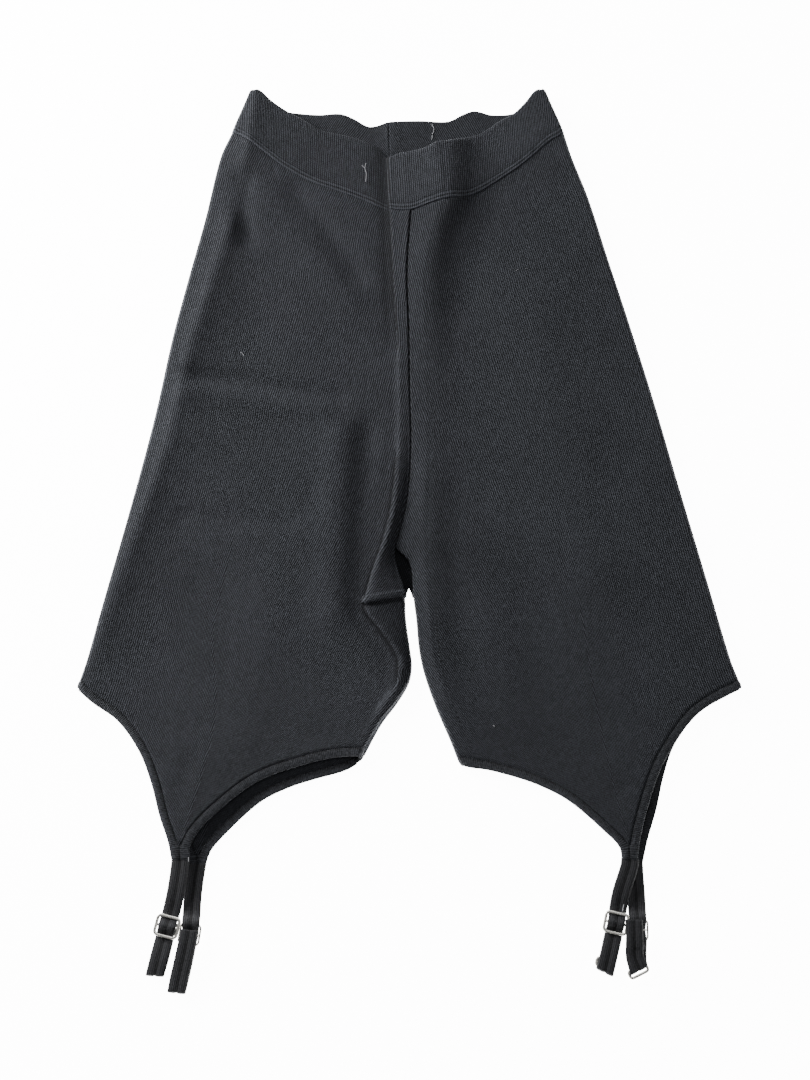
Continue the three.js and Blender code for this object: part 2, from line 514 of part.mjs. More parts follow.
// A closed wall of even thickness round a grid of middle points. Rows from `closedFrom` on
// join their last point to their first. `flip` turns the faces for a mirrored grid.
function wallGeometry(grid, thickness, { closedFrom = Infinity, flatSides = false, flip = false } = {}) {
  const rows = grid.length;
  const columns = grid[0].length;
  const at = (j, i) => grid[j][i];
  const positions = [];
  const outerIndex = [];
  const innerIndex = [];
  for (let j = 0; j < rows; j += 1) {
    const closed = j >= closedFrom;
    outerIndex.push([]);
    innerIndex.push([]);
    for (let i = 0; i < columns; i += 1) {
      if (closed && i === columns - 1) {
        outerIndex[j].push(outerIndex[j][0]);
        innerIndex[j].push(innerIndex[j][0]);
        continue;
      }
      let before = at(j, Math.max(0, i - 1));
      if (closed && i === 0) before = at(j, columns - 2);
      const after = at(j, Math.min(columns - 1, i + 1));
      const up = at(Math.max(0, j - 1), i);
      const down = at(Math.min(rows - 1, j + 1), i);
      const across = new THREE.Vector3().subVectors(after, before);
      const along_ = new THREE.Vector3().subVectors(down, up);
      const normal = new THREE.Vector3().crossVectors(across, along_).normalize();
      if (flip) normal.negate();
      if (flatSides && !closed && (i === 0 || i === columns - 1)) {
        normal.set(0, 0, i === 0 ? -1 : 1);
      }
      const outer = at(j, i).clone().addScaledVector(normal, thickness / 2);
      const inner = at(j, i).clone().addScaledVector(normal, -thickness / 2);
      outerIndex[j].push(positions.length / 3);
      positions.push(outer.x, outer.y, Math.max(0, outer.z));
      innerIndex[j].push(positions.length / 3);
      positions.push(inner.x, inner.y, Math.max(0, inner.z));
    }
  }
  const indices = [];
  const quad = (a, b, c, d) => {
    if (flip) indices.push(a, c, b, a, d, c);
    else indices.push(a, b, c, a, c, d);
  };
  for (let j = 0; j < rows - 1; j += 1) {
    for (let i = 0; i < columns - 1; i += 1) {
      quad(outerIndex[j][i], outerIndex[j][i + 1], outerIndex[j + 1][i + 1], outerIndex[j + 1][i]);
      quad(innerIndex[j][i], innerIndex[j + 1][i], innerIndex[j + 1][i + 1], innerIndex[j][i + 1]);
    }
    if (j < closedFrom) {
      const last = columns - 1;
      quad(outerIndex[j][0], outerIndex[j + 1][0], innerIndex[j + 1][0], innerIndex[j][0]);
      quad(outerIndex[j][last], innerIndex[j][last], innerIndex[j + 1][last], outerIndex[j + 1][last]);
    }
  }
  const end = rows - 1;
  for (let i = 0; i < columns - 1; i += 1) {
    quad(outerIndex[0][i], innerIndex[0][i], innerIndex[0][i + 1], outerIndex[0][i + 1]);
    quad(outerIndex[end][i], outerIndex[end][i + 1], innerIndex[end][i + 1], innerIndex[end][i]);
  }
  const geometry = new THREE.BufferGeometry();
  geometry.setAttribute('position', new THREE.Float32BufferAttribute(positions, 3));
  const whole = [];
  for (let k = 0; k < indices.length; k += 3) {
    const [a, b, c] = indices.slice(k, k + 3);
    if (a !== b && b !== c && a !== c) whole.push(a, b, c);
  }
  geometry.setIndex(whole);
  return geometry;
}

function legGeometry(side) {
  const front = prepareColumns(side, false);
  const back = prepareColumns(side, true);
  const grid = LEG_ROWS.map((v) => ringPoints(side, front, back, v, 0));
  const closedFrom = LEG_ROWS.findIndex((v) => v >= CROTCH_V - 1e-9);
  return wallGeometry(grid, LEG_WALL, { closedFrom, flatSides: true, flip: side.sign < 0 });
}

// The band: one strip from the back seam round the front and home, in the legs' columns.
function bandGeometry() {
  const sides = [LEFT, RIGHT].map((side) => ({
    side, front: prepareColumns(side, false), back: prepareColumns(side, true),
  }));
  const grid = BAND_ROWS.map((v) => {
    const [left, right] = sides.map(({ side, front, back }) => ringPoints(side, front, back, v, BAND_LIFT));
    const centre = left[0].clone().add(right[0]).multiplyScalar(0.5);
    const skipped = FOLD_ANGLES.length + 1;
    return [...left.slice(skipped).reverse(), centre, ...right.slice(skipped)];
  });
  return wallGeometry(grid, BAND_WALL);
}

// Plan point on the hem under each column of the lowest leg ring.
function hemPoint(side, column, lines, ringX, ringStartX) {
  const s = side.sign;
  const inset = LEG_WALL / 2;
  const innerCorner = lines.innerHem(0);
  const outerCorner = lines.outerHem(0);
  if (column.part === 'innerFold') {
    const reach = inset + FOLD_RADIUS * (1 - Math.cos(column.angle));
    return { x: innerCorner.x + s * reach, y: innerCorner.y };
  }
  if (column.part === 'outerFold') {
    const reach = inset + FOLD_RADIUS * (1 - Math.cos(column.angle));
    return { x: outerCorner.x - s * reach, y: outerCorner.y };
  }
  if (column.part === 'outerStart') return lines.outerHem(0.016);
  if (column.part === 'innerArc') return lines.innerHem(column.share);
  if (column.part === 'outerArc') return lines.outerHem(column.share);
  const first = lines.innerTop(INNER_ARC_SHARES[0]).x;
  const share = clamp01((ringX - ringStartX) / (first - ringStartX));
  return lines.innerHem(mix(0.018, INNER_ARC_SHARES[0], share));
}

// The two strips that bind one leg opening. Each runs from the front tongue round the fold
// to the back tongue, and on beside its neighbour to the strap.
function bindingGeometries(side) {
  const front = prepareColumns(side, false);
  const back = prepareColumns(side, true);
  const ring = ringPoints(side, front, back, 1, BINDING_LIFT);
  const backColumns = [...back.columns].reverse().slice(1);
  const ringStartX = ring[FOLD_ANGLES.length].x;
  const entries = [
    ...front.columns.map((column) => ({ column, lines: front.lines })),
    ...backColumns.map((column) => ({ column, lines: back.lines })),
  ].map((entry, i) => ({
    ...entry,
    top: ring[i],
    hem: hemPoint(side, entry.column, entry.lines, ring[i].x, ringStartX),
    isFront: i < front.columns.length,
  })).filter(({ column }) => column.part !== 'innerFold' || column.angle === 0);
  const tail = (lines, neckShare, isInner, z) => TAIL_STEPS.map((step) => {
    const share = mix(neckShare, 1, step);
    const inner = lines.innerHem(share);
    const outer = lines.outerHem(share);
    const centre = mixPoint(inner, outer, 0.5);
    const neck = isInner ? lines.innerTop(neckShare) : lines.outerTop(neckShare);
    const aside = (isInner ? -1 : 1) * side.sign * SEAM_GAP * 0.7;
    const top = mixPoint(neck, { x: centre.x + aside, y: centre.y }, clamp01(step * 2.5));
    return { top: new THREE.Vector3(top.x, top.y, z), hem: isInner ? inner : outer };
  });
  const pick = (part, wanted) => entries.findIndex((e) => e.column.part === part && e.isFront === wanted);
  const lastInner = pick('outerArc', true) - 1;
  const firstOuter = lastInner + 1;
  const lastOuter = pick('innerArc', false) - 1;
  const firstInnerBack = lastOuter + 1;
  const innerRun = [
    ...entries.slice(firstInnerBack, entries.length - 1), ...entries.slice(0, lastInner + 1),
  ];
  const outerRun = entries.slice(firstOuter, lastOuter + 1);
  const frontZ = entries[lastInner].top.z;
  const backZ = BACK_LEVEL + BINDING_LIFT;
  const runs = {
    inner: [
      ...tail(back.lines, BACK_NECK, true, backZ).reverse(), ...innerRun,
      ...tail(front.lines, FRONT_NECK, true, frontZ),
    ],
    outer: [
      ...tail(front.lines, FRONT_NECK, false, frontZ).reverse(), ...outerRun,
      ...tail(back.lines, BACK_NECK, false, backZ),
    ],
  };
  const geometry = (run) => wallGeometry(BINDING_ROWS.map((down) => run.map(({ top, hem }) => (
    new THREE.Vector3(mix(top.x, hem.x, down), mix(top.y, hem.y, down), top.z)
  ))), BINDING_WALL, { flip: side.sign < 0 });
  return { inner: geometry(runs.inner), outer: geometry(runs.outer) };
}

// Heights of the tape's middle as it passes the slider and the ring, from the floor up.
const STEP_UP = TAPE_WALL / 2 + SEAM_GAP + METAL_THICK / 2;
const TAPE_LOW = TAPE_WALL / 2;
const TAPE_SECOND = TAPE_LOW + TAPE_WALL + SEAM_GAP;
const TURN_RADIUS = STEP_UP;
const TAPE_OVER_RING = TAPE_LOW + 2 * STEP_UP;

// Side view of a strap: distance along its path and height, from the hem to the sewn end.
function strapProfile(strap) {
  const { slider: at, end } = strap;
  const turnAt = end - TURN_RADIUS - TAPE_WALL / 2;
  const slotNear = SLIDER_LENGTH / 2 - METAL_BAR - 0.3;
  const barHalf = METAL_BAR / 2 + 0.3;
  const main = strap.front ? { bar: TAPE_SECOND, hump: TAPE_SECOND + 2 * STEP_UP }
    : { bar: TAPE_LOW + 2 * STEP_UP, hump: TAPE_LOW };
  const mainRing = strap.front ? TAPE_OVER_RING : TAPE_LOW;
  const homeRing = strap.front ? TAPE_LOW : TAPE_OVER_RING;
  const homeSlider = strap.front ? TAPE_LOW : main.bar + TAPE_WALL + SEAM_GAP;
  const turn = [1, 0, -1].map((k) => ({
    s: turnAt + TURN_RADIUS * Math.cos((k * Math.PI) / 4),
    z: TAPE_LOW + TURN_RADIUS + (strap.front ? 1 : -1) * TURN_RADIUS * Math.sin((k * Math.PI) / 4),
  }));
  return [
    { s: 0.3, z: strap.start }, { s: at - strap.ramp, z: strap.start }, { s: at - 9, z: main.bar },
    { s: at - slotNear, z: main.bar },
    { s: at - barHalf, z: main.hump }, { s: at + barHalf, z: main.hump }, { s: at + slotNear, z: main.bar },
    { s: at + 8.5, z: main.bar }, { s: end - 14, z: mainRing }, { s: turnAt, z: mainRing }, ...turn,
    { s: turnAt, z: homeRing }, { s: end - 14, z: homeRing }, { s: at + 9.5, z: homeSlider },
    { s: strap.home, z: homeSlider },
  ];
}

// Plan frame at a distance down a strap: its point, direction and direction across.
function strapFrame(strap, distance) {
  const curve = planCurve(strap.path);
  const share = clamp01(distance / curve.getLength());
  const p = curve.getPointAt(share);
  const t = curve.getTangentAt(share);
  return { p, t, across: new THREE.Vector3(-t.y, t.x, 0) };
}

// A tape bent along its profile, with the folded end slanted.
function strapGeometry(strap) {
  const profile = strapProfile(strap);
  const positions = [];
  profile.forEach((row, k) => {
    const before = profile[Math.max(0, k - 1)];
    const after = profile[Math.min(profile.length - 1, k + 1)];
    const length = Math.hypot(after.s - before.s, after.z - before.z);
    const normal = { s: -(after.z - before.z) / length, z: (after.s - before.s) / length };
    const ramp = smooth((row.s - (strap.end - 14)) / 11);
    for (const [side, face] of [[1, 1], [-1, 1], [-1, -1], [1, -1]]) {
      const aside = (side * TAPE_WIDTH) / 2;
      const s = row.s + (face * normal.s * TAPE_WALL) / 2;
      const { p, t, across } = strapFrame(strap, s);
      const z = row.z + (face * normal.z * TAPE_WALL) / 2;
      const slide = strap.slant * aside * ramp;
      const x = p.x + across.x * aside + t.x * slide;
      const y = p.y + across.y * aside + t.y * slide;
      positions.push(x, y, Math.max(0, z));
    }
  });
  const indices = [];
  for (let k = 0; k < profile.length - 1; k += 1) {
    for (let c = 0; c < 4; c += 1) {
      const a = k * 4 + c;
      const b = k * 4 + ((c + 1) % 4);
      indices.push(a, b, a + 4, b, b + 4, a + 4);
    }
  }
  const last = (profile.length - 1) * 4;
  indices.push(0, 2, 1, 0, 3, 2, last, last + 1, last + 2, last, last + 2, last + 3);
  const geometry = new THREE.BufferGeometry();
  geometry.setAttribute('position', new THREE.Float32BufferAttribute(positions, 3));
  geometry.setIndex(indices);
  return geometry;
}

// A flat rounded frame of metal bars, with a bar across its middle where it has one.
function frameGeometry(width, length, middleBar) {
  const rounded = (shape, w, l, y, r) => {
    shape.moveTo(-w / 2 + r, y - l / 2);
    shape.lineTo(w / 2 - r, y - l / 2);
    shape.absarc(w / 2 - r, y - l / 2 + r, r, -Math.PI / 2, 0, false);
    shape.lineTo(w / 2, y + l / 2 - r);
    shape.absarc(w / 2 - r, y + l / 2 - r, r, 0, Math.PI / 2, false);
    shape.lineTo(-w / 2 + r, y + l / 2);
    shape.absarc(-w / 2 + r, y + l / 2 - r, r, Math.PI / 2, Math.PI, false);
    shape.lineTo(-w / 2, y - l / 2 + r);
    shape.absarc(-w / 2 + r, y - l / 2 + r, r, Math.PI, 1.5 * Math.PI, false);
    return shape;
  };
  const shape = rounded(new THREE.Shape(), width, length, 0, 2.6);
  const innerWidth = width - 2 * METAL_BAR;
  if (middleBar) {
    const slot = (length - 3 * METAL_BAR) / 2;
    for (const side of [-1, 1]) {
      shape.holes.push(rounded(new THREE.Path(), innerWidth, slot, (side * (slot + METAL_BAR)) / 2, 1));
    }
  } else {
    shape.holes.push(rounded(new THREE.Path(), innerWidth, length - 2 * METAL_BAR, 0, 1));
  }
  const bevel = 0.3;
  const geometry = new THREE.ExtrudeGeometry(shape, {
    depth: METAL_THICK - 2 * bevel, bevelEnabled: true, bevelThickness: bevel, bevelSize: bevel, bevelOffset: -bevel,
    bevelSegments: 1, curveSegments: 4,
  });
  geometry.translate(0, 0, bevel - METAL_THICK / 2);
  return geometry;
}

// Puts a metal frame on a strap at a distance down it.
function seatMetal(mesh, strap, distance, height, aside, turn) {
  const { p, t, across } = strapFrame(strap, distance);
  mesh.position.set(p.x + across.x * aside, p.y + across.y * aside, height);
  mesh.rotation.z = Math.atan2(t.y, t.x) + Math.PI / 2 + turn;
  return mesh;
}

const cloth = new THREE.MeshStandardMaterial({ color: 0x1b1c20, roughness: 0.95, metalness: 0 });
const metal = new THREE.MeshStandardMaterial({ color: 0xcfcdc2, roughness: 0.3, metalness: 1 });
const garment = new THREE.Group();

function addPiece(name, geometry, material) {
  const mesh = new THREE.Mesh(geometry, material);
  mesh.name = name;
  garment.add(mesh);
  return mesh;
}

addPiece('waistband', bandGeometry(), cloth);
for (const side of [LEFT, RIGHT]) {
  addPiece(`${side.name}_leg`, legGeometry(side), cloth);
  const bindings = bindingGeometries(side);
  addPiece(`${side.name}_inner_binding`, bindings.inner, cloth);
  addPiece(`${side.name}_outer_binding`, bindings.outer, cloth);
}
for (const strap of STRAPS) {
  addPiece(`${strap.name}_strap`, strapGeometry(strap), cloth);
  const height = strap.front ? TAPE_SECOND + STEP_UP : TAPE_LOW + STEP_UP;
  const slider = addPiece(`${strap.name}_slider`, frameGeometry(SLIDER_WIDTH, SLIDER_LENGTH, true), metal);
  seatMetal(slider, strap, strap.slider, height, 0, 0);
}
for (const ring of RINGS) {
  const strap = STRAPS.find(({ name }) => name === ring.strap);
  const turnAt = strap.end - TURN_RADIUS - TAPE_WALL / 2;
  const distance = ring.threaded ? turnAt - METAL_BAR + RING_LENGTH / 2 : turnAt - 1 - RING_LENGTH / 2;
  const mesh = addPiece(`${ring.strap}_ring`, frameGeometry(ring.width, RING_LENGTH, false), metal);
  seatMetal(mesh, strap, distance, TAPE_LOW + STEP_UP, ring.aside, ring.turn);
}

export default garment;
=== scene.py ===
"""Knitted bike shorts with garter straps, laid flat and face up on a pale surface.

Lengths are in millimetres unless metres are named, and the cut tables repeat the garment's own
sizes. Every mesh is made in metres in its final place: +Y points to the waist and the underside
lies on z = 0.
"""

from __future__ import annotations

import logging
import math
from bisect import bisect_right
from dataclasses import dataclass, field
from enum import Enum
from functools import cached_property
from typing import Callable, NamedTuple, Sequence

import bmesh
import bpy
from mathutils import Matrix, Vector, noise

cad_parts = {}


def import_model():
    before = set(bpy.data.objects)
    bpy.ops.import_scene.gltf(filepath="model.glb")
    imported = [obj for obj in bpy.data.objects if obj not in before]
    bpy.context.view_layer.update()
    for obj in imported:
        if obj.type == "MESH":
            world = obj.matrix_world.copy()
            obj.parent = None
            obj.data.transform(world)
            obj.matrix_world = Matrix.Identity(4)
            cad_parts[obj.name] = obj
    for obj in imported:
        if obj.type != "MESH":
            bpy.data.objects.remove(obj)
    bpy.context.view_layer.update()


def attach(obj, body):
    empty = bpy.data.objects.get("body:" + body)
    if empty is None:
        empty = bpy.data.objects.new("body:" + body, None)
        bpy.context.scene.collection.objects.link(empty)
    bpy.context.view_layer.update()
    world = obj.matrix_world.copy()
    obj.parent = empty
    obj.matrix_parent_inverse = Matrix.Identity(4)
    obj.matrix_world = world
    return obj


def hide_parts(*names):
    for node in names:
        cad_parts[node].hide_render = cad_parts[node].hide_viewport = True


LOG = logging.getLogger("shorts")
MM = 0.001
BODY = "root"
CLOTH_MARK = "cloth_mm"
SLACK = 1e-9
TURN = 2 * math.pi

Point = tuple[float, float]
Relief = Callable[[int, int], float]


def mix(a: float, b: float, t: float) -> float:
    """Value a share t of the way from a to b."""
    return a + (b - a) * t


def clamp01(t: float) -> float:
    """The number t kept between 0 and 1."""
    return min(1.0, max(0.0, t))


def smooth(t: float) -> float:
    """A soft step from 0 to 1 as t goes from 0 to 1."""
    t = clamp01(t)
    return t * t * (3 - 2 * t)


def bell(distance: float, width: float) -> float:
    """A soft bump that is 1 at no distance and falls away over width."""
    return math.exp(-((distance / width) ** 2))


@dataclass(frozen=True)
class Table:
    """A short table with named columns, read with smooth steps between its rows."""

    columns: tuple[str, ...]
    rows: tuple[tuple[float, ...], ...]

    @cached_property
    def ordered(self) -> list[tuple[float, ...]]:
        """The rows with the first column rising."""
        return sorted(self.rows)

    @cached_property
    def keys(self) -> list[float]:
        """The first column, rising."""
        return [row[0] for row in self.ordered]

    def read(self, at: float, column: str = "") -> float:
        """Reads one column.

        Args:
            at: the value of the first column.
            column: the column's name; the second column where it is left out.

        Returns:
            The column's value there, held at the table's ends.
        """
        rows = self.ordered
        k = self.columns.index(column) if column else 1
        last = len(rows) - 1
        if at <= rows[0][0]:
            return rows[0][k]
        if at >= rows[last][0]:
            return rows[last][k]
        i = bisect_right(self.keys, at) - 1

        def slope(j: int) -> float:
            """Slope of the column at one row."""
            before, after = rows[max(0, j - 1)], rows[min(last, j + 1)]
            return (after[k] - before[k]) / (after[0] - before[0])

        span = rows[i + 1][0] - rows[i][0]
        t = (at - rows[i][0]) / span
        t2, t3 = t * t, t * t * t
        start = (2 * t3 - 3 * t2 + 1) * rows[i][k] + (t3 - 2 * t2 + t) * span * slope(i)
        end = (3 * t2 - 2 * t3) * rows[i + 1][k] + (t3 - t2) * span * slope(i + 1)
        return start + end


class PlanCurve:
    """A smooth plan curve through a few points, read by its share of arc length."""

    SAMPLES = 400

    def __init__(self, points: Sequence[Point]) -> None:
        """Measures the curve once, so that it is quick to read.

        Args:
            points: the plan points that it passes.
        """
        self.points = list(points)
        self.samples = [self._raw(k / self.SAMPLES) for k in range(self.SAMPLES + 1)]
        self.lengths = [0.0]
        for before, after in zip(self.samples, self.samples[1:]):
            self.lengths.append(self.lengths[-1] + math.dist(before, after))

    @property
    def length(self) -> float:
        """The curve's whole length."""
        return self.lengths[-1]

    def _raw(self, t: float) -> Point:
        """Point of the centripetal spline at its own parameter t.

        Args:
            t: the parameter, from 0 to 1.

        Returns:
            The plan point.
        """
        points = self.points
        last = len(points) - 1
        at = t * last
        i = min(int(at), last - 1)
        p1, p2 = points[i], points[i + 1]
        p0 = points[i - 1] if i > 0 else (2 * p1[0] - p2[0], 2 * p1[1] - p2[1])
        p3 = points[i + 2] if i + 2 <= last else (2 * p2[0] - p1[0], 2 * p2[1] - p1[1])
        d0, d1, d2 = (math.sqrt(math.dist(a, b)) for a, b in ((p0, p1), (p1, p2), (p2, p3)))
        w = at - i
        out = []
        for x0, x1, x2, x3 in zip(p0, p1, p2, p3):
            m1 = ((x1 - x0) / d0 - (x2 - x0) / (d0 + d1) + (x2 - x1) / d1) * d1
            m2 = ((x2 - x1) / d1 - (x3 - x1) / (d1 + d2) + (x3 - x2) / d2) * d1
            c2 = -3 * x1 + 3 * x2 - 2 * m1 - m2
            c3 = 2 * x1 - 2 * x2 + m1 + m2
            out.append(x1 + m1 * w + c2 * w * w + c3 * w**3)
        return out[0], out[1]

    def at(self, share: float, aside: float = 0.0) -> Point:
        """Reads the curve.

        Args:
            share: share of the arc length from the first point.
            aside: distance to the left of the curve as it is walked.

        Returns:
            The plan point.
        """
        (x, y), (tx, ty) = self.frame(share)
        return x - ty * aside, y + tx * aside

    def frame(self, share: float) -> tuple[Point, Point]:
        """The plan point and the unit direction at a share of the arc length.

        Args:
            share: share of the arc length.

        Returns:
            The point and the direction.
        """
        target = clamp01(share) * self.length
        i = min(bisect_right(self.lengths, target) - 1, self.SAMPLES - 1)
        a, b = self.samples[i], self.samples[i + 1]
        step = self.lengths[i + 1] - self.lengths[i]
        w = (target - self.lengths[i]) / step
        direction = ((b[0] - a[0]) / step, (b[1] - a[1]) / step)
        return (mix(a[0], b[0], w), mix(a[1], b[1], w)), direction


class Stretch(Enum):
    """The stretches of a ring across one side, from the inner edge to the outer fold."""

    INNER_FOLD = "inner fold"
    STRIP = "strip beside the seam"
    PLEAT = "edge of the raised fold"
    INNER_ARC = "columns that end on the inner hem"
    OUTER_ARC = "columns that end on the outer hem"
    OUTER_START = "start of the outer fold"
    OUTER_FOLD = "outer fold"


class Column(NamedTuple):
    """One column of the cloth's grid: its stretch and its share or angle along it."""

    part: Stretch
    share: float
    across: float = 0.0


@dataclass(frozen=True)
class ClothSizes:
    """The garment's driving sizes, in millimetres."""

    leg_wall: float = 1.8
    band_wall: float = 2.8
    binding_wall: float = 2.0
    binding_width: float = 5.5
    seam_gap: float = 0.3
    fold_radius: float = 1.9
    back_level: float = 0.9
    front_level: float = 4.7
    waist_y: float = 226
    back_waist_y: float = 262
    crotch_y: float = -57
    leg_end_y: float = -160
    ridge_step: float = 1.7
    front_neck: float = 0.94
    back_neck: float = 0.968
    inner_arc_from: float = 0.07
    outer_arc_from: float = 0.03

    @property
    def crotch_v(self) -> float:
        """Share down the leg at which the crotch lies."""
        return (self.waist_y - self.crotch_y) / (self.waist_y - self.leg_end_y)

    def neck(self, back: bool) -> float:
        """Share of a hem's arcs at which the tongue's cloth ends."""
        return self.back_neck if back else self.front_neck


SIZES = ClothSizes()

XY = ("x", "y")
YX = ("y", "x")
HEIGHTS = ("y", "foot", "crest", "seam")

WAIST_SEAM = Table(XY, (
    (-131, 288), (-123, 284.5), (-107, 272.7), (-92, 261), (-71, 249.3), (-50, 241.6), (-30, 233.8),
    (-14, 227.4), (1.4, 226), (14, 230.5), (28, 234.6), (45, 238.5), (61, 247.8), (79, 260.2),
    (92, 271.1), (102, 280.5), (114, 288),
))
BAND_TOP = Table(XY, (
    (-118, 317.4), (-113, 320.4), (-108.5, 318.4), (-103, 312.9), (-92, 305), (-78, 297.1),
    (-65, 289.2), (-55, 286.8),
    (-43, 284.1), (-27, 277.4), (-15, 267), (-8, 269.1), (10, 272.3), (20, 277), (29, 278.5),
    (53, 286.4), (66, 295.8), (78, 302.9), (87, 312.4), (92, 319.2), (96.5, 321.8), (101, 319.4),
))
BACK_WAIST = Table(XY, (
    (-131, 288), (-110, 276), (-80, 269), (-45, 265), (-14, 262), (30, 264), (62, 268), (92, 276),
    (114, 288),
))
BACK_BAND_TOP = Table(XY, (
    (-118, 317.4), (-111, 316), (-104, 309), (-90, 305.4), (-67, 303.2), (-51, 304), (-41, 300.1),
    (-31, 294.2), (-25, 294.2), (-14, 297.5), (8, 298.5), (29, 298), (41, 304), (49, 306.2), (62, 303),
    (78, 304.4), (90, 311), (96, 317.5), (101, 319.4),
))
BAND_LEAN = Table(("x", "shift"), ((-131, 12.6), (-60, 4), (0, -2.6), (60, -7.5), (115, -13.3)))
BACK_SEAM = Table(YX, ((262, -14), (150, -8), (50, -4), (-20, -1), (-50, -0.2)))
PRESS_LINE = Table(YX, (
    (307, -113.8), (236, -125), (177, -141), (122, -156.5), (47, -172.4), (-29, -197), (-86, -214.4),
    (-112, -220.5),
))
PRESS_HEIGHT = Table(("y", "height"), ((307, 3.4), (200, 4.2), (60, 4.2), (-60, 3.4), (-112, 2.0)))
PRESS_REACH_OUT = 13
PRESS_REACH_IN = 17


@dataclass(frozen=True)
class SideCut:
    """The cut and lie of one side of the garment, in millimetres."""

    name: str
    sign: int
    outer: Table
    inner: Table
    ridge: Table
    heights: Table
    front_hem_inner: tuple[Point, ...]
    front_hem_outer: tuple[Point, ...]
    back_hem_inner: tuple[Point, ...]
    back_hem_outer: tuple[Point, ...]


LEFT = SideCut(
    name="left",
    sign=-1,
    outer=Table(YX, (
        (288, -131), (269, -139), (222, -149), (176, -160.2), (131, -170.6), (71, -182), (0, -198.5),
        (-59, -213.3), (-101, -223.7), (-115.5, -228.2),
    )),
    inner=Table(YX, (
        (226, 1.4), (194, -1), (172, -1.6), (147, -0.5), (86, 0.6), (59, 1.3), (32, 0.5), (7, -2.3),
        (-14, -7.9), (-26, -10), (-38, -7.6), (-50, -3.8), (-57, -2.8), (-72, -2.3), (-93, 0.5),
        (-105, 1.9), (-116, -0.2), (-129, -8.5), (-141, -18.5), (-160, -30.5),
    )),
    ridge=Table(YX, (
        (226, -12.8), (203, -11.4), (176, -10), (149, -8.6), (125, -8), (86, -7.6), (59, -7.8),
        (40, -8.4), (22, -9.6), (0, -12.6), (-22, -18.5), (-40, -24.6), (-55, -28.6), (-62, -30.6),
        (-70, -27.5), (-81, -18.6), (-92, -10.9), (-102, -6.4), (-116, -8), (-129, -16),
        (-145, -27.5), (-160, -38),
    )),
    heights=Table(HEIGHTS, (
        (320, 0, 4.2, 5.4), (226, 0, 4.0, 5.2), (176, 0, 3.2, 4.0), (125, 0, 1.9, 2.1),
        (95, 0, 1.0, 0.9), (55, 0, 1.2, 0.3), (22, -0.3, 3.4, 0.6), (-20, -0.8, 6.0, 1.6),
        (-45, -1, 7.4, 2), (-62, -1, 8, 2.4), (-80, -0.8, 6, 2), (-100, -0.4, 3.2, 1.2),
        (-125, 0, 1.4, 0.8), (-160, 0, 0.6, 0.4),
    )),
    front_hem_inner=(
        (-32.6, -167), (-51, -168), (-75.3, -173.7), (-104.3, -184.5), (-130.1, -203.9), (-143, -217),
        (-148.6, -226.5), (-149.2, -236.5),
    ),
    front_hem_outer=(
        (-229.9, -120.6), (-218.4, -130.6), (-200.7, -142.9), (-184.9, -164.3), (-176, -186),
        (-169.9, -207.6), (-163.6, -225), (-161, -236.5),
    ),
    back_hem_inner=(
        (-34.2, -171.5), (-43.6, -176.6), (-65.5, -182.8), (-81.2, -187.8), (-101, -197.4),
        (-124.5, -218.4), (-135.4, -231), (-138.2, -239),
    ),
    back_hem_outer=(
        (-229.9, -120.6), (-214, -131.5), (-197, -147), (-183, -168), (-173, -190), (-163, -211),
        (-153.4, -227), (-149.9, -239),
    ),
)
RIGHT = SideCut(
    name="right",
    sign=1,
    outer=Table(YX, (
        (288, 114.6), (269, 120.2), (238, 131.4), (192, 144.5), (146, 157.9), (86, 174.6),
        (27, 189.7), (-45, 208.5), (-101, 223), (-115.5, 228.2),
    )),
    inner=Table(YX, (
        (226, 1.4), (194, -1), (172, -1.6), (147, -0.5), (86, 0.6), (59, 1.3), (32, 0.5), (7, -2.3),
        (-14, -7.9), (-23, -9), (-30, -1.4), (-38, 1.6), (-57, 2.8), (-72, 4.7), (-93, 6.7),
        (-109, 10.2), (-131, 18.4), (-152, 28.7), (-160, 32.4),
    )),
    ridge=Table(YX, (
        (226, 27), (208, 19.5), (172, 12), (136, 13), (59, 14), (-26, 12), (-57, 15), (-93, 18),
        (-120, 25), (-160, 42),
    )),
    heights=Table(HEIGHTS, (
        (320, 7.2, 7.4, 5.2), (226, 6.8, 7.0, 5.0), (176, 4.8, 5.0, 3.7), (125, 2.6, 2.8, 2.0),
        (95, 1.3, 1.4, 0.9), (55, 1.2, 1.3, 0.3), (22, 2.5, 2.7, 0.8), (-20, 3.6, 3.8, 1.8),
        (-45, 3.8, 4.0, 2.1), (-62, 3.5, 3.7, 1.7), (-100, 2.6, 2.8, 0.8), (-160, 0.3, 0.3, 0.3),
    )),
    front_hem_inner=(
        (35.8, -173.6), (44, -175.2), (53, -176.3), (75, -182), (90, -187.4), (108.7, -197.2),
        (133.5, -218.4), (142.6, -228), (144.2, -236.5),
    ),
    front_hem_outer=(
        (230, -120.6), (210.7, -130), (196.6, -139.9), (185.9, -152.9), (172.5, -174.4),
        (163, -199.6), (156.6, -222.3), (154.4, -236.5),
    ),
    back_hem_inner=(
        (35.8, -173.6), (60, -176), (90, -184.5), (112, -196), (131, -211), (143.4, -225),
        (146.9, -239),
    ),
    back_hem_outer=(
        (230, -120.6), (219.5, -125.8), (200.5, -136.9), (182.5, -158.8), (174.2, -180.6),
        (168.8, -202.3), (162, -223.7), (158.2, -239),
    ),
)


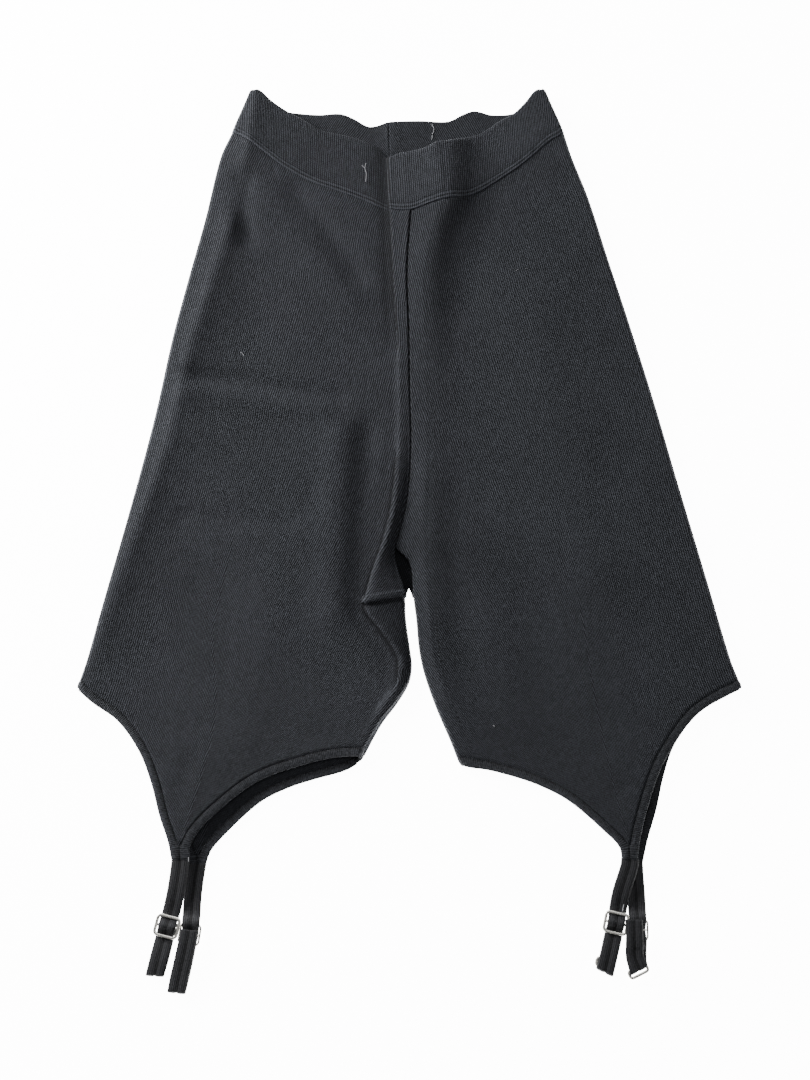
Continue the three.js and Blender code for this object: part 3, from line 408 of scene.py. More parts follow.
class Crease(NamedTuple):
    """A soft bent line on the front: three plan points, a width and a height or depth."""

    points: tuple[Point, Point, Point]
    width: float
    height: float

    def distance(self, x: float, y: float) -> float:
        """Plan distance from a point to the bent line.

        Args:
            x: plan x.
            y: plan y.

        Returns:
            The shortest distance.
        """
        best = math.inf
        for (ax, ay), (bx, by) in zip(self.points, self.points[1:]):
            run = (bx - ax) ** 2 + (by - ay) ** 2
            t = clamp01(((x - ax) * (bx - ax) + (y - ay) * (by - ay)) / run)
            best = min(best, math.hypot(x - mix(ax, bx, t), y - mix(ay, by, t)))
        return best


CREASES = (
    Crease(((-157, 103), (-121, 99), (-50, 87)), 6, -1.7),
    Crease(((-155, 89), (-121, 86), (-62, 76)), 8, 1.3),
    Crease(((-159, 1), (-126, -1), (-85, -5)), 6, -0.9),
    Crease(((-84, 240), (-62, 216), (-38, 178)), 9, -1.7),
    Crease(((-100, 226), (-76, 200), (-44, 160)), 11, 1.2),
    Crease(((-121, 250), (-123, 230), (-119, 206)), 8, -2.8),
    Crease(((60, 238), (52, 205), (40, 160)), 12, -0.8),
    Crease(((150, -186), (143, -192), (137, -198)), 4, -0.9),
    Crease(((-150, -172), (-156, -184), (-158, -196)), 6, -1.1),
    Crease(((-36, -66), (-25, -85), (-13, -100)), 6, -1.7),
    Crease(((-150, 60), (-120, 40), (-84, 30)), 16, 1.0),
    Crease(((80, 150), (110, 60), (130, -40)), 22, 1.2),
    Crease(((40, -20), (60, -80), (70, -140)), 20, 0.9),
    Crease(((-31, 62), (-32, 0), (-33, -50)), 8, -2.2),
    Crease(((-50, 60), (-53, -10), (-54, -70)), 12, 1.8),
    Crease(((-100, -60), (-110, -110), (-120, -160)), 20, 1.0),
)

# The raised fold's edge: out is the distance past its line, rise the share of its height.
OPEN_EDGE = Table(("t", "out", "rise"), (
    (0, -1.7, 1), (0.25, -0.9, 0.86), (0.5, 0, 0.55), (0.75, 0.9, 0.16), (1, 1.7, 0),
))
TUCKED_EDGE = Table(("t", "out", "rise"), (
    (0, -1.7, 1), (0.14, -0.3, 1), (0.24, 0.7, 0.93), (0.32, 1.05, 0.78), (0.4, 0.7, 0.63),
    (0.5, -0.8, 0.54), (0.6, -2.4, 0.48), (0.68, -3.2, 0.36), (0.74, -3.2, 0.2), (0.8, -2.5, 0.05),
    (0.88, -0.9, 0), (1, 1.7, 0),
))


@dataclass
class Resolution:
    """How finely the visible cloth is divided."""

    fold_steps: int = 6
    strip_steps: int = 9
    pleat_steps: int = 22
    arc_steps: int = 26
    leg_rows: int = 150
    seam_row: float = 0.6
    rows_above_seam: int = 14
    rows_below_seam: int = 24

    def columns(self, back: bool) -> list[Column]:
        """The columns of one layer, from the inner edge to the outer fold.

        Args:
            back: True for the back layer.

        Returns:
            The layer's columns in order.
        """
        neck = SIZES.neck(back)
        angles = [math.pi / 2 * k / self.fold_steps for k in range(self.fold_steps)]
        columns = [Column(Stretch.INNER_FOLD, angle) for angle in angles]
        if back:
            columns.append(Column(Stretch.STRIP, 0.0))
        else:
            steps = self.strip_steps
            columns += [Column(Stretch.STRIP, k / steps) for k in range(steps)]
            steps = self.pleat_steps
            columns += [Column(Stretch.PLEAT, k / steps) for k in range(steps + 1)]
        steps = self.arc_steps
        first, last = SIZES.inner_arc_from, SIZES.outer_arc_from
        columns += [Column(Stretch.INNER_ARC, mix(first, neck, k / steps)) for k in range(steps + 1)]
        columns += [Column(Stretch.OUTER_ARC, mix(neck, last, k / steps)) for k in range(steps + 1)]
        columns.append(Column(Stretch.OUTER_START, 0.0))
        columns += [Column(Stretch.OUTER_FOLD, angle) for angle in reversed(angles)]
        return columns

    def rows(self) -> list[float]:
        """Shares down the leg, fine across the inner-leg seam, with one at the crotch.

        Returns:
            The shares, rising from 0 to 1.
        """
        fine = self.seam_row / (SIZES.waist_y - SIZES.leg_end_y)
        start = SIZES.crotch_v - self.rows_above_seam * fine
        end = SIZES.crotch_v + self.rows_below_seam * fine
        count = self.rows_above_seam + self.rows_below_seam
        above, below = round(self.leg_rows * start), round(self.leg_rows * (1 - end))
        rows = [start * k / above for k in range(above)]
        rows += [mix(start, end, k / count) for k in range(count)]
        return rows + [mix(end, 1, k / below) for k in range(below + 1)]


class Wrinkle(NamedTuple):
    """One layer of the cloth's unevenness: its spans, its place in the noise and its height."""

    across: float
    down: float
    layer: float
    height: float


WRINKLES = (Wrinkle(48, 60, 0.3, 0.42), Wrinkle(15, 19, 4.1, 0.09))


def soft_wrinkle(x: float, y: float) -> float:
    """Height of the cloth's faint unevenness, in millimetres."""
    return sum(w.height * noise.noise(Vector((x / w.across, y / w.down, w.layer))) for w in WRINKLES)


def crease_height(x: float, y: float) -> float:
    """Height of the front cloth over its level, from creases and the pressed line.

    Args:
        x: plan x.
        y: plan y.

    Returns:
        The height.
    """
    height = soft_wrinkle(x, y)
    for crease in CREASES:
        height += crease.height * bell(crease.distance(x, y), crease.width)
    if x < 0:
        beside = x - PRESS_LINE.read(y)
        reach = PRESS_REACH_OUT if beside < 0 else PRESS_REACH_IN
        height += PRESS_HEIGHT.read(y) * math.exp(-abs(beside) / reach)
    return height


@dataclass(frozen=True)
class FoldSizes:
    """Shape of the raised fold, the dip beside it and the layers' ends, and the painted shade in its crevice
    and dip.

    Lengths are in millimetres, and the values called span say over how far a change goes.
    """

    corner_power: int = 12
    hem_power: float = 2.4
    dip: float = 1.2
    dip_reach: float = 13
    deep_from: float = 0.8
    deep_span: float = 1.6
    lowest: float = -2.0
    sharp_reach: float = 14
    near_share: float = 0.8
    near_width: float = 12
    far_share: float = 0.2
    far_reach: float = 30
    back_turn: float = 2.4
    back_turn_y: float = -49
    back_turn_span: float = 8
    tuck_from: float = 1.5
    tuck_span: float = 1.3
    # Painted shade: how much the cloth's colour is darkened in the fold's crevice, beside it and in the dip.
    crevice_painted_shade: float = 1.3
    beside_painted_shade: float = 0.4
    dip_painted_shade: float = 0.6
    dip_dark_y: float = 40
    calm: float = 0.75
    calm_from: float = 0.9
    calm_span: float = 0.1
    early_fold: float = 0.35
    early_span: float = 0.07


FOLD = FoldSizes()


class SideForm:
    """One side of the garment as rings of middle points, from the waist to the hem."""

    def __init__(self, cut: SideCut, resolution: Resolution) -> None:
        """Prepares the hem lines and the columns of both layers.

        Args:
            cut: the side's tables.
            resolution: how finely it is divided.
        """
        self.cut = cut
        self.inset = SIZES.binding_width + SIZES.seam_gap
        self.hems = {
            False: (PlanCurve(cut.front_hem_inner), PlanCurve(cut.front_hem_outer)),
            True: (PlanCurve(cut.back_hem_inner), PlanCurve(cut.back_hem_outer)),
        }
        self.columns = {back: self._prepare(resolution.columns(back), back) for back in (False, True)}
        self.foot = max(i for i, c in enumerate(self.columns[False]) if c.part is Stretch.PLEAT)

    def hem(self, back: bool, outer: bool, share: float, top: bool = False) -> Point:
        """Plan point on a hem.

        Args:
            back: whether it is the back layer's hem.
            outer: whether it is the arc on the outer side.
            share: share of the arc from its corner to the tongue.
            top: whether it is the line where the leg's cloth ends above the binding.

        Returns:
            The plan point.
        """
        aside = self.cut.sign * self.inset * (-1 if outer else 1) if top else 0.0
        return self.hems[back][1 if outer else 0].at(share, aside)

    def _inner_y(self, v: float, back: bool) -> float:
        """The y of the inner edge at a share down the leg.

        Args:
            v: share down the leg.
            back: True for the back layer.

        Returns:
            The plan y.
        """
        if not back or v >= SIZES.crotch_v:
            return mix(SIZES.waist_y, SIZES.leg_end_y, v)
        return mix(SIZES.back_waist_y, SIZES.crotch_y, v / SIZES.crotch_v)

    def _inner_edge(self, v: float, back: bool) -> Point:
        """The inner edge in plan, half a seam gap from the centre seam above the crotch.

        Args:
            v: share down the leg.
            back: True for the back layer.

        Returns:
            The plan point.
        """
        sign = self.cut.sign
        y = self._inner_y(v, back)
        below = v >= SIZES.crotch_v - SLACK
        inset = sign * (SIZES.leg_wall / 2 if below else SIZES.seam_gap / 2)
        if back and not below:
            turn = smooth((FOLD.back_turn_y - y) / FOLD.back_turn_span) * sign * FOLD.back_turn
            return BACK_SEAM.read(y) + inset + turn, y
        return self.cut.inner.read(y) + inset, y

    def _outer_edge(self, v: float) -> Point:
        """The outer fold's silhouette, half a wall in."""
        y = mix(self.cut.outer.rows[0][0], self.cut.outer.rows[-1][0], v)
        return self.cut.outer.read(y) - self.cut.sign * SIZES.leg_wall / 2, y

    def _layer_start(self, v: float, back: bool) -> Point:
        """Where a layer's arc columns begin at a share down the leg.

        Args:
            v: share down the leg.
            back: True for the back layer.

        Returns:
            The plan point.
        """
        x, y = self._inner_edge(v, back)
        if back:
            return x + self.cut.sign * SIZES.fold_radius, y
        return self.cut.ridge.read(y) + self.cut.sign * SIZES.ridge_step, y

    def _layer_end(self, v: float) -> Point:
        """Where a layer's arc columns end at a share down the leg."""
        x, y = self._outer_edge(v)
        return x - self.cut.sign * SIZES.fold_radius, y

    def _prepare(self, columns: list[Column], back: bool) -> list[Column]:
        """Gives each arc column its share of the way across the layer.

        Args:
            columns: the layer's columns.
            back: True for the back layer.

        Returns:
            The columns, with the arcs' shares filled in.
        """
        start, end = self._layer_start(1, back), self._layer_end(1)
        prepared = []
        for column in columns:
            if column.part in (Stretch.INNER_ARC, Stretch.OUTER_ARC):
                x = self.hem(back, column.part is Stretch.OUTER_ARC, column.share, top=True)[0]
                across = clamp01((x - start[0]) / (end[0] - start[0]))
                column = column._replace(across=across)
            prepared.append(column)
        return prepared

    def _corner_rise(self, v: float, x: float, back: bool) -> float:
        """How far the leg's lower edge bends from level beside the inner fold.

        Args:
            v: share down the leg.
            x: plan x of the point.
            back: True for the back layer.

        Returns:
            The rise.
        """
        corner = self.hem(back, False, 0, top=True)
        first = self.hem(back, False, SIZES.inner_arc_from, top=True)
        target = mix(corner[1], first[1], clamp01((x - corner[0]) / (first[0] - corner[0])))
        return v**FOLD.corner_power * (target - SIZES.leg_end_y)

    def tuck(self, y: float) -> float:
        """How far the raised fold's edge is tucked under, from 0 to 1."""
        height = self.cut.heights.read(y, "crest") - self.cut.heights.read(y, "foot")
        return smooth((height - FOLD.tuck_from) / FOLD.tuck_span)

    def shade(self, i: int, row: Sequence[Vector], tucked: float) -> float:
        """Painted shade on the front in the raised fold's crevice and in the dip beside it.

        Args:
            i: column number.
            row: the ring that the column's point belongs to.
            tucked: how far the fold's edge is tucked under there.

        Returns:
            The paleness to take away.
        """
        column = self.columns[False][i]
        if column.part is Stretch.PLEAT:
            return FOLD.crevice_painted_shade * tucked * smooth((column.share - 0.15) / 0.15)
        if column.part is Stretch.INNER_ARC:
            beside = abs(row[i].x - row[self.foot].x)
            upper = smooth((row[i].y - FOLD.dip_dark_y) / FOLD.dip_dark_y)
            close = FOLD.beside_painted_shade * math.exp(-beside / 4)
            return tucked * (close + FOLD.dip_painted_shade * upper * bell(beside - 4, 6))
        return 0.0

    def edge_shape(self, y: float, t: float) -> tuple[float, float]:
        """Shape of the raised fold's edge.

        Args:
            y: place down the garment.
            t: share from the fold's top round to its foot.

        Returns:
            How far it lies past the fold's line, and the share of the fold's height.
        """
        tuck = self.tuck(y)
        out = mix(OPEN_EDGE.read(t, "out"), TUCKED_EDGE.read(t, "out"), tuck)
        rise = mix(OPEN_EDGE.read(t, "rise"), TUCKED_EDGE.read(t, "rise"), tuck)
        return out, rise

    def plan(self, column: Column, v: float, back: bool) -> Point:
        """Plan point of one column at share v down the leg, or at the waist where v < 0.

        Args:
            column: the column.
            v: share down the leg.
            back: True for the back layer.

        Returns:
            The plan point.
        """
        sign = self.cut.sign
        v = max(0.0, v)
        top = BACK_WAIST if back else WAIST_SEAM
        top_y = SIZES.back_waist_y if back else SIZES.waist_y
        edge_x, edge_y = self._inner_edge(v, back)
        outer_x, outer_y = self._outer_edge(v)
        if column.part is Stretch.INNER_FOLD:
            x = edge_x + sign * SIZES.fold_radius * (1 - math.cos(column.share))
            return x, edge_y + self._corner_rise(v, x, back)
        if column.part is Stretch.OUTER_FOLD:
            return outer_x - sign * SIZES.fold_radius * (1 - math.cos(column.share)), outer_y
        if column.part is Stretch.OUTER_START:
            return self._layer_end(v)
        if column.part in (Stretch.STRIP, Stretch.PLEAT):
            x = self._strip_x(column, edge_x, edge_y, back)
            waist_x, waist_y = self._inner_edge(0, back)
            top_x = self._strip_x(column, waist_x, waist_y, back)
            rise = (1 - v) ** 2 * (top.read(top_x) - top_y)
            return x, edge_y + rise + self._corner_rise(v, x, back)
        return self._arc_plan(column, v, back, top)

    def _strip_x(self, column: Column, edge_x: float, y: float, back: bool) -> float:
        """The x of a column between the inner edge and the foot of the raised fold.

        Args:
            column: the column.
            edge_x: x of the inner edge there.
            y: y of the inner edge there.
            back: True for the back layer.

        Returns:
            The plan x.
        """
        sign = self.cut.sign
        start = edge_x + sign * SIZES.fold_radius
        if back:
            return start
        ridge = self.cut.ridge.read(y)
        if column.part is Stretch.STRIP:
            return mix(start, ridge - sign * SIZES.ridge_step, column.share)
        return ridge + sign * self.edge_shape(y, column.share)[0]

    def _arc_plan(self, column: Column, v: float, back: bool, top: Table) -> Point:
        """Plan point of a column that ends on the hem's arc.

        Args:
            column: the column.
            v: share down the leg.
            back: True for the back layer.
            top: the waist seam of that layer.

        Returns:
            The plan point.
        """
        outer = column.part is Stretch.OUTER_ARC
        hem = self.hem(back, outer, column.share, top=True)
        across = column.across
        start, end = self._layer_start(v, back), self._layer_end(v)
        hem_start, hem_end = self._layer_start(1, back), self._layer_end(1)
        waist_start, waist_end = self._layer_start(0, back), self._layer_end(0)
        waist_x = mix(waist_start[0], waist_end[0], across)
        rise = top.read(waist_x) - mix(waist_start[1], waist_end[1], across)
        down = v**FOLD.hem_power
        x, y = (
            mix(start[k], end[k], across) + down * (hem[k] - mix(hem_start[k], hem_end[k], across))
            for k in (0, 1)
        )
        return x, y + (1 - v) ** 2 * rise

    def _front_height(self, column: Column, x: float, y: float, ridge_x: float, v: float) -> float:
        """Height of the front layer's middle.

        Args:
            column: the column.
            x: plan x.
            y: plan y.
            ridge_x: x of the raised fold's edge there.
            v: share down the leg.

        Returns:
            The height.
        """
        foot, crest, seam = (self.cut.heights.read(y, name) for name in HEIGHTS[1:])
        if column.part is Stretch.INNER_FOLD:
            lift = seam
        elif column.part is Stretch.STRIP:
            lift = mix(seam, crest, column.share**0.8)
        elif column.part is Stretch.PLEAT:
            lift = mix(foot, crest, self.edge_shape(y, column.share)[1])
        else:
            beside = max(0.0, abs(x - ridge_x) - SIZES.ridge_step)
            deep = smooth((crest - foot - FOLD.deep_from) / FOLD.deep_span)
            lift = foot * self._fall(beside) - FOLD.dip * deep * math.exp(-beside / FOLD.dip_reach)
        fade = 1 - FOLD.calm * smooth((v - FOLD.calm_from) / FOLD.calm_span)
        return SIZES.front_level + max(FOLD.lowest, lift + crease_height(x, y)) * fade

    def _fall(self, beside: float) -> float:
        """How the height falls away beside the raised fold, from 1 to 0.

        Args:
            beside: distance from the fold's foot.

        Returns:
            The share of the foot's height that is left.
        """
        if self.cut.sign < 0:
            return math.exp(-beside / FOLD.sharp_reach)
        near = FOLD.near_share * bell(beside, FOLD.near_width)
        return near + FOLD.far_share * math.exp(-beside / FOLD.far_reach)

    def ring(self, v: float, lift: float = 0.0) -> list[Vector]:
        """One ring across the side, front from the inner edge out and back home.

        Args:
            v: share down the leg from 0 to 1, or up the band from 0 to -1.
            lift: height added to every point.

        Returns:
            The ring's middle points.
        """
        middle = (SIZES.front_level + SIZES.back_level) / 2
        leg_v = max(0.0, v)
        closed = v >= SIZES.crotch_v - SLACK
        early = smooth((leg_v - SIZES.crotch_v + FOLD.early_span) / FOLD.early_span)
        folded = {False: 1.0 if closed else FOLD.early_fold * early, True: 1.0 if closed else 0.0}
        ridge_x = self.cut.ridge.read(self._inner_y(leg_v, False))

        def point(column: Column, back: bool) -> Vector:
            """The ring's point on one column.

            Args:
                column: the column.
                back: True for the back layer.

            Returns:
                The middle point.
            """
            x, y = self._up_band(self.plan(column, v, back), v, back)
            z = SIZES.back_level if back else self._front_height(column, x, y, ridge_x, v)
            if column.part is Stretch.INNER_FOLD:
                z = mix(z, mix(middle, z, math.sin(column.share)), folded[back])
            elif column.part is Stretch.OUTER_FOLD:
                z = mix(middle, z, math.sin(column.share))
            return Vector((x, y, z + lift))

        edge = Stretch.OUTER_FOLD
        home = [c for c in reversed(self.columns[True]) if c.part is not edge or c.share != 0]
        return [point(c, False) for c in self.columns[False]] + [point(c, True) for c in home]

    @staticmethod
    def _up_band(point: Point, v: float, back: bool) -> Point:
        """Moves a point of the waist seam up the band where v is below 0.

        Args:
            point: the plan point.
            v: share down the leg, or up the band below 0.
            back: True for the back layer.

        Returns:
            The moved plan point.
        """
        if v >= 0:
            return point
        top, low = (BACK_BAND_TOP, BACK_WAIST) if back else (BAND_TOP, WAIST_SEAM)
        x, y = point
        top_x = x + BAND_LEAN.read(x)
        rise = top.read(top_x) - low.read(x)
        return mix(x, top_x, -v), y - v * rise


def marked_mesh(name: str, vertices: Sequence[Vector], faces: Sequence[tuple[int, ...]],
                marks: Sequence[Sequence[float]]) -> bpy.types.Mesh:
    """Makes a mesh that carries the cloth's place and paleness at each vertex.

    Args:
        name: the mesh's name.
        vertices: places in metres.
        faces: corners of each face.
        marks: place across, place down and paleness of each vertex, painted shade included.

    Returns:
        The mesh.
    """
    mesh = bpy.data.meshes.new(name)
    mesh.from_pydata(vertices, [], faces)
    mark = mesh.attributes.new(CLOTH_MARK, "FLOAT_VECTOR", "POINT")
    for k, value in enumerate(marks):
        mark.data[k].vector = value
    return mesh


def smooth_piece(mesh: bpy.types.Mesh) -> bpy.types.Object:
    """Makes a smooth shaded object of a mesh.

    Args:
        mesh: the mesh, named as the object is to be.

    Returns:
        The object, linked to the scene.
    """
    mesh.shade_smooth()
    mesh.update()
    piece = bpy.data.objects.new(mesh.name, mesh)
    bpy.context.scene.collection.objects.link(piece)
    return piece


def flat(_j: int, _i: int) -> float:
    """No extra height or paleness anywhere."""
    return 0.0


@dataclass
class WallMesh:
    """A closed cloth wall with rounded rims round a grid of middle points in millimetres.

    From row closed_from on, a row's last point is its first one. outer and inner give the two
    faces extra height, and tint says how much paler than the plain cloth a place is, with
    painted shade and painted highlights included. sign is 1 where rows run down and columns
    run to +X on the upper layer, else -1.
    """

    grid: list[list[Vector]]
    cloth: list[list[Point]]
    thickness: float
    sign: int
    closed_from: int | None = None
    outer: Relief = flat
    inner: Relief = flat
    tint: Relief = flat
    rim_steps: int = 4
    rim_bulge: float = 0.4
    vertices: list[Vector] = field(default_factory=list)
    marks: list[Vector] = field(default_factory=list)
    faces: list[tuple[int, ...]] = field(default_factory=list)

    def __post_init__(self) -> None:
        """Keeps every row open where no closed one is named."""
        if self.closed_from is None:
            self.closed_from = len(self.grid)

    def _mark(self, j: int, i: int) -> Vector:
        """The cloth's place and paleness at a row and column."""
        return Vector((*self.cloth[j][i], self.tint(j, i)))

    def _add(self, point: Vector, mark: Vector) -> int:
        """Stores one vertex, never below the surface that the garment lies on.

        Args:
            point: its place.
            mark: its place in the cloth and its paleness.

        Returns:
            The vertex's number.
        """
        self.vertices.append(Vector((point.x, point.y, max(0.0, point.z))) * MM)
        self.marks.append(mark)
        return len(self.vertices) - 1

    def _face(self, *corners: int) -> None:
        """Stores one face, turned outwards, without repeated corners."""
        unique = list(dict.fromkeys(corners))
        if len(unique) > 2:
            self.faces.append(tuple(unique if self.sign > 0 else reversed(unique)))

    def _normal(self, j: int, i: int) -> Vector:
        """The outward normal of the middle surface at a row and column.

        Args:
            j: row number.
            i: column number.

        Returns:
            The unit normal.
        """
        grid, rows, columns = self.grid, len(self.grid), len(self.grid[0])
        closed = j >= self.closed_from
        before = columns - 2 if closed and i == 0 else max(0, i - 1)
        after = min(columns - 1, i + 1)
        across = grid[j][after] - grid[j][before]
        down = grid[min(rows - 1, j + 1)][i] - grid[max(0, j - 1)][i]
        return (down.cross(across) * self.sign).normalized()

    def _arc(self, ends: tuple[int, int], out: Vector, mark: Vector) -> list[int]:
        """Vertices round a rim, from the outer face to the inner one.

        Args:
            ends: the vertices on the two faces.
            out: direction out of the wall's edge.
            mark: the place in the cloth and the paleness.

        Returns:
            The vertices' numbers, with both ends.
        """
        start, end = (self.vertices[k] / MM for k in ends)
        half = (start - end) / 2
        centre = (start + end) / 2
        reach = half.length * self.rim_bulge
        arc = [ends[0]]
        for k in range(1, self.rim_steps):
            angle = math.pi * k / self.rim_steps
            arc.append(self._add(centre + half * math.cos(angle) + out * reach * math.sin(angle), mark))
        return arc + [ends[1]]

    def build(self, name: str) -> bpy.types.Object:
        """Makes the wall's object.

        Args:
            name: the object's name.

        Returns:
            The new object, smooth shaded, with its cloth places as an attribute.
        """
        rows, columns = len(self.grid), len(self.grid[0])
        outside = [[0] * columns for _ in range(rows)]
        inside = [[0] * columns for _ in range(rows)]
        for j in range(rows):
            for i in range(columns):
                if j >= self.closed_from and i == columns - 1:
                    outside[j][i], inside[j][i] = outside[j][0], inside[j][0]
                    continue
                normal = self._normal(j, i)
                over = self.thickness / 2 + self.outer(j, i)
                under = self.thickness / 2 + self.inner(j, i)
                mark = self._mark(j, i)
                outside[j][i] = self._add(self.grid[j][i] + normal * over, mark)
                inside[j][i] = self._add(self.grid[j][i] - normal * under, mark)
        for j in range(rows - 1):
            for i in range(columns - 1):
                self._face(outside[j][i], outside[j + 1][i], outside[j + 1][i + 1], outside[j][i + 1])
                self._face(inside[j][i], inside[j][i + 1], inside[j + 1][i + 1], inside[j + 1][i])
        self._close_rims(outside, inside)
        return smooth_piece(marked_mesh(name, self.vertices, self.faces, self.marks))

    def _close_rims(self, outside: list[list[int]], inside: list[list[int]]) -> None:
        """Joins the two faces round every open edge, and fills the corners between the rims.

        Args:
            outside: vertices of the outer face, by row and column.
            inside: those of the inner face.
        """
        grid, rows, columns = self.grid, len(self.grid), len(self.grid[0])
        ends = {}
        for j, beside in ((0, 1), (rows - 1, rows - 2)):
            arcs = []
            for i in range(columns):
                if j >= self.closed_from and i == columns - 1:
                    arcs.append(arcs[0])
                    continue
                out = (grid[j][i] - grid[beside][i]).normalized()
                arcs.append(self._arc((outside[j][i], inside[j][i]), out, self._mark(j, i)))
            ends[j] = arcs
            self._rim(arcs, j == 0)
        last = min(self.closed_from, rows - 1)
        sides = {}
        for i, beside in ((0, 1), (columns - 1, columns - 2)):
            arcs = []
            for j in range(last + 1):
                if j >= self.closed_from and i > 0:
                    arcs.append(sides[0][j])
                    continue
                out = (grid[j][i] - grid[j][beside]).normalized()
                if j >= self.closed_from:
                    out = (grid[j - 1][0] + grid[j - 1][-1] - 2 * grid[j][0]).normalized()
                arcs.append(self._arc((outside[j][i], inside[j][i]), out, self._mark(j, i)))
            sides[i] = arcs
            self._rim(arcs, i > 0)
        for j in (0, rows - 1):
            for i in (0, columns - 1):
                if j < self.closed_from:
                    corner = [ends[j][i], sides[i][j]]
                    self._rim(corner if (j == 0) == (i == 0) else corner[::-1], False)

    def _rim(self, arcs: list[list[int]], turned: bool) -> None:
        """Stores the faces between neighbouring arcs of a rim.

        Args:
            arcs: the arcs' vertices, in order along the rim.
            turned: whether the faces run the other way round.
        """
        for a, b in zip(arcs, arcs[1:]):
            for k in range(self.rim_steps):
                rest = (b[k], b[k + 1], a[k + 1]) if turned else (a[k + 1], b[k + 1], b[k])
                self._face(a[k], *rest)


def lengths_along(points: Sequence[Vector]) -> list[float]:
    """Distance of each point from the first along the line through them.

    Args:
        points: the line's points.

    Returns:
        One distance for each point.
    """
    total = [0.0]
    for a, b in zip(points, points[1:]):
        total.append(total[-1] + (b - a).length)
    return total


class Value:
    """A shader socket that takes part in arithmetic and adds its Math nodes."""

    def __init__(self, sheet: "NodeSheet", socket: bpy.types.NodeSocket) -> None:
        """Wraps an output socket of a material's tree."""
        self.sheet = sheet
        self.socket = socket

    def _math(self, operation: str, first: object, second: object = None) -> "Value":
        """Adds one Math node."""
        values = {0: first} if second is None else {0: first, 1: second}
        return self.sheet.add("ShaderNodeMath", {"operation": operation}, values)

    def __add__(self, other: object) -> "Value":
        """Sum."""
        return self._math("ADD", self, other)

    def __radd__(self, other: object) -> "Value":
        """Sum with a number on the left."""
        return self._math("ADD", other, self)

    def __sub__(self, other: object) -> "Value":
        """Difference."""
        return self._math("SUBTRACT", self, other)

    def __rsub__(self, other: object) -> "Value":
        """Difference with a number on the left."""
        return self._math("SUBTRACT", other, self)

    def __mul__(self, other: object) -> "Value":
        """Product."""
        return self._math("MULTIPLY", self, other)

    def __rmul__(self, other: object) -> "Value":
        """Product with a number on the left."""
        return self._math("MULTIPLY", other, self)

    def __truediv__(self, other: object) -> "Value":
        """Quotient."""
        return self._math("DIVIDE", self, other)

    def __abs__(self) -> "Value":
        """Size without sign."""
        return self._math("ABSOLUTE", self)

    def fraction(self) -> "Value":
        """What is left after the whole number is taken away."""
        return self._math("FRACT", self)

    def cosine(self) -> "Value":
        """Cosine of an angle in radians."""
        return self._math("COSINE", self)

    def clamped(self) -> "Value":
        """The value kept between 0 and 1."""
        return self.sheet.add("ShaderNodeClamp", {}, {0: self})


class NodeSheet:
    """The node tree of one material, built by short calls."""

    def __init__(self, name: str) -> None:
        """Makes an empty material with its output and main shader.

        Args:
            name: the material's name.
        """
        self.material = bpy.data.materials.new(name)
        self.material.use_nodes = True
        self.tree = self.material.node_tree
        self.tree.nodes.clear()
        self.shader = self.tree.nodes.new("ShaderNodeBsdfPrincipled")
        output = self.tree.nodes.new("ShaderNodeOutputMaterial")
        self.tree.links.new(self.shader.outputs[0], output.inputs[0])

    def add(self, kind: str, settings: dict[str, object], inputs: dict[object, object],
            output: object = 0) -> Value:
        """Adds one node.

        Args:
            kind: the node's type.
            settings: its own settings, set before its sockets.
            inputs: the values or links of its sockets, by name or number.
            output: the output that is wanted, by name or number.

        Returns:
            The output as a value.
        """
        node = self.tree.nodes.new(kind)
        for key, value in settings.items():
            setattr(node, key, value)
        for key, value in inputs.items():
            self.feed(node.inputs[key], value)
        return Value(self, node.outputs[output])

    def feed(self, socket: bpy.types.NodeSocket, value: object) -> None:
        """Links a value to a socket, or sets the socket to a constant.

        Args:
            socket: the input socket.
            value: a value of this sheet, or a constant.
        """
        if isinstance(value, Value):
            self.tree.links.new(value.socket, socket)
        else:
            socket.default_value = value

    def dress(self, **inputs: object) -> bpy.types.Material:
        """Feeds the main shader and returns the material.

        Args:
            inputs: values by socket, in small letters with underscores.

        Returns:
            The finished material.
        """
        for name, value in inputs.items():
            self.feed(self.shader.inputs[name.replace("_", " ").title()], value)
        return self.material

    def blend(self, share: object, first: object, second: object) -> Value:
        """A colour between two, mixed by a share."""
        return self.add("ShaderNodeMix", {"data_type": "RGBA"}, {0: share, 6: first, 7: second}, 2)

    def cloth_place(self) -> tuple[Value, Value, Value, Value]:
        """The cloth's place as a vector, its two parts in millimetres, and the paleness, painted shade
        included.
        """
        place = self.add("ShaderNodeAttribute", {"attribute_name": CLOTH_MARK}, {}, "Vector")
        return place, *(self.add("ShaderNodeSeparateXYZ", {}, {0: place}, k) for k in range(3))

    def noise(self, place: Value, scale: float, detail: float = 2.0) -> Value:
        """Soft noise between 0 and 1 over a place."""
        return self.add("ShaderNodeTexNoise", {}, {"Vector": place, "Scale": scale, "Detail": detail})

    def specks(self, across: Value, down: Value) -> Value:
        """A tone of its own for every whole step across and down, between -0.5 and 0.5.

        Args:
            across: steps across.
            down: steps down.

        Returns:
            The tone.
        """
        cells = {"X": across - across.fraction(), "Y": down - down.fraction()}
        cell = self.add("ShaderNodeCombineXYZ", {}, cells)
        return self.add("ShaderNodeTexWhiteNoise", {"noise_dimensions": "2D"}, {"Vector": cell}) - 0.5

    def bump(self, height: Value, distance: float, strength: float) -> Value:
        """A bumped normal from a height between 0 and 1."""
        values = {"Height": height, "Distance": distance, "Strength": strength}
        return self.add("ShaderNodeBump", {}, values)


Colour = tuple[float, float, float, float]
WHITE = (1.0, 1.0, 1.0, 1.0)


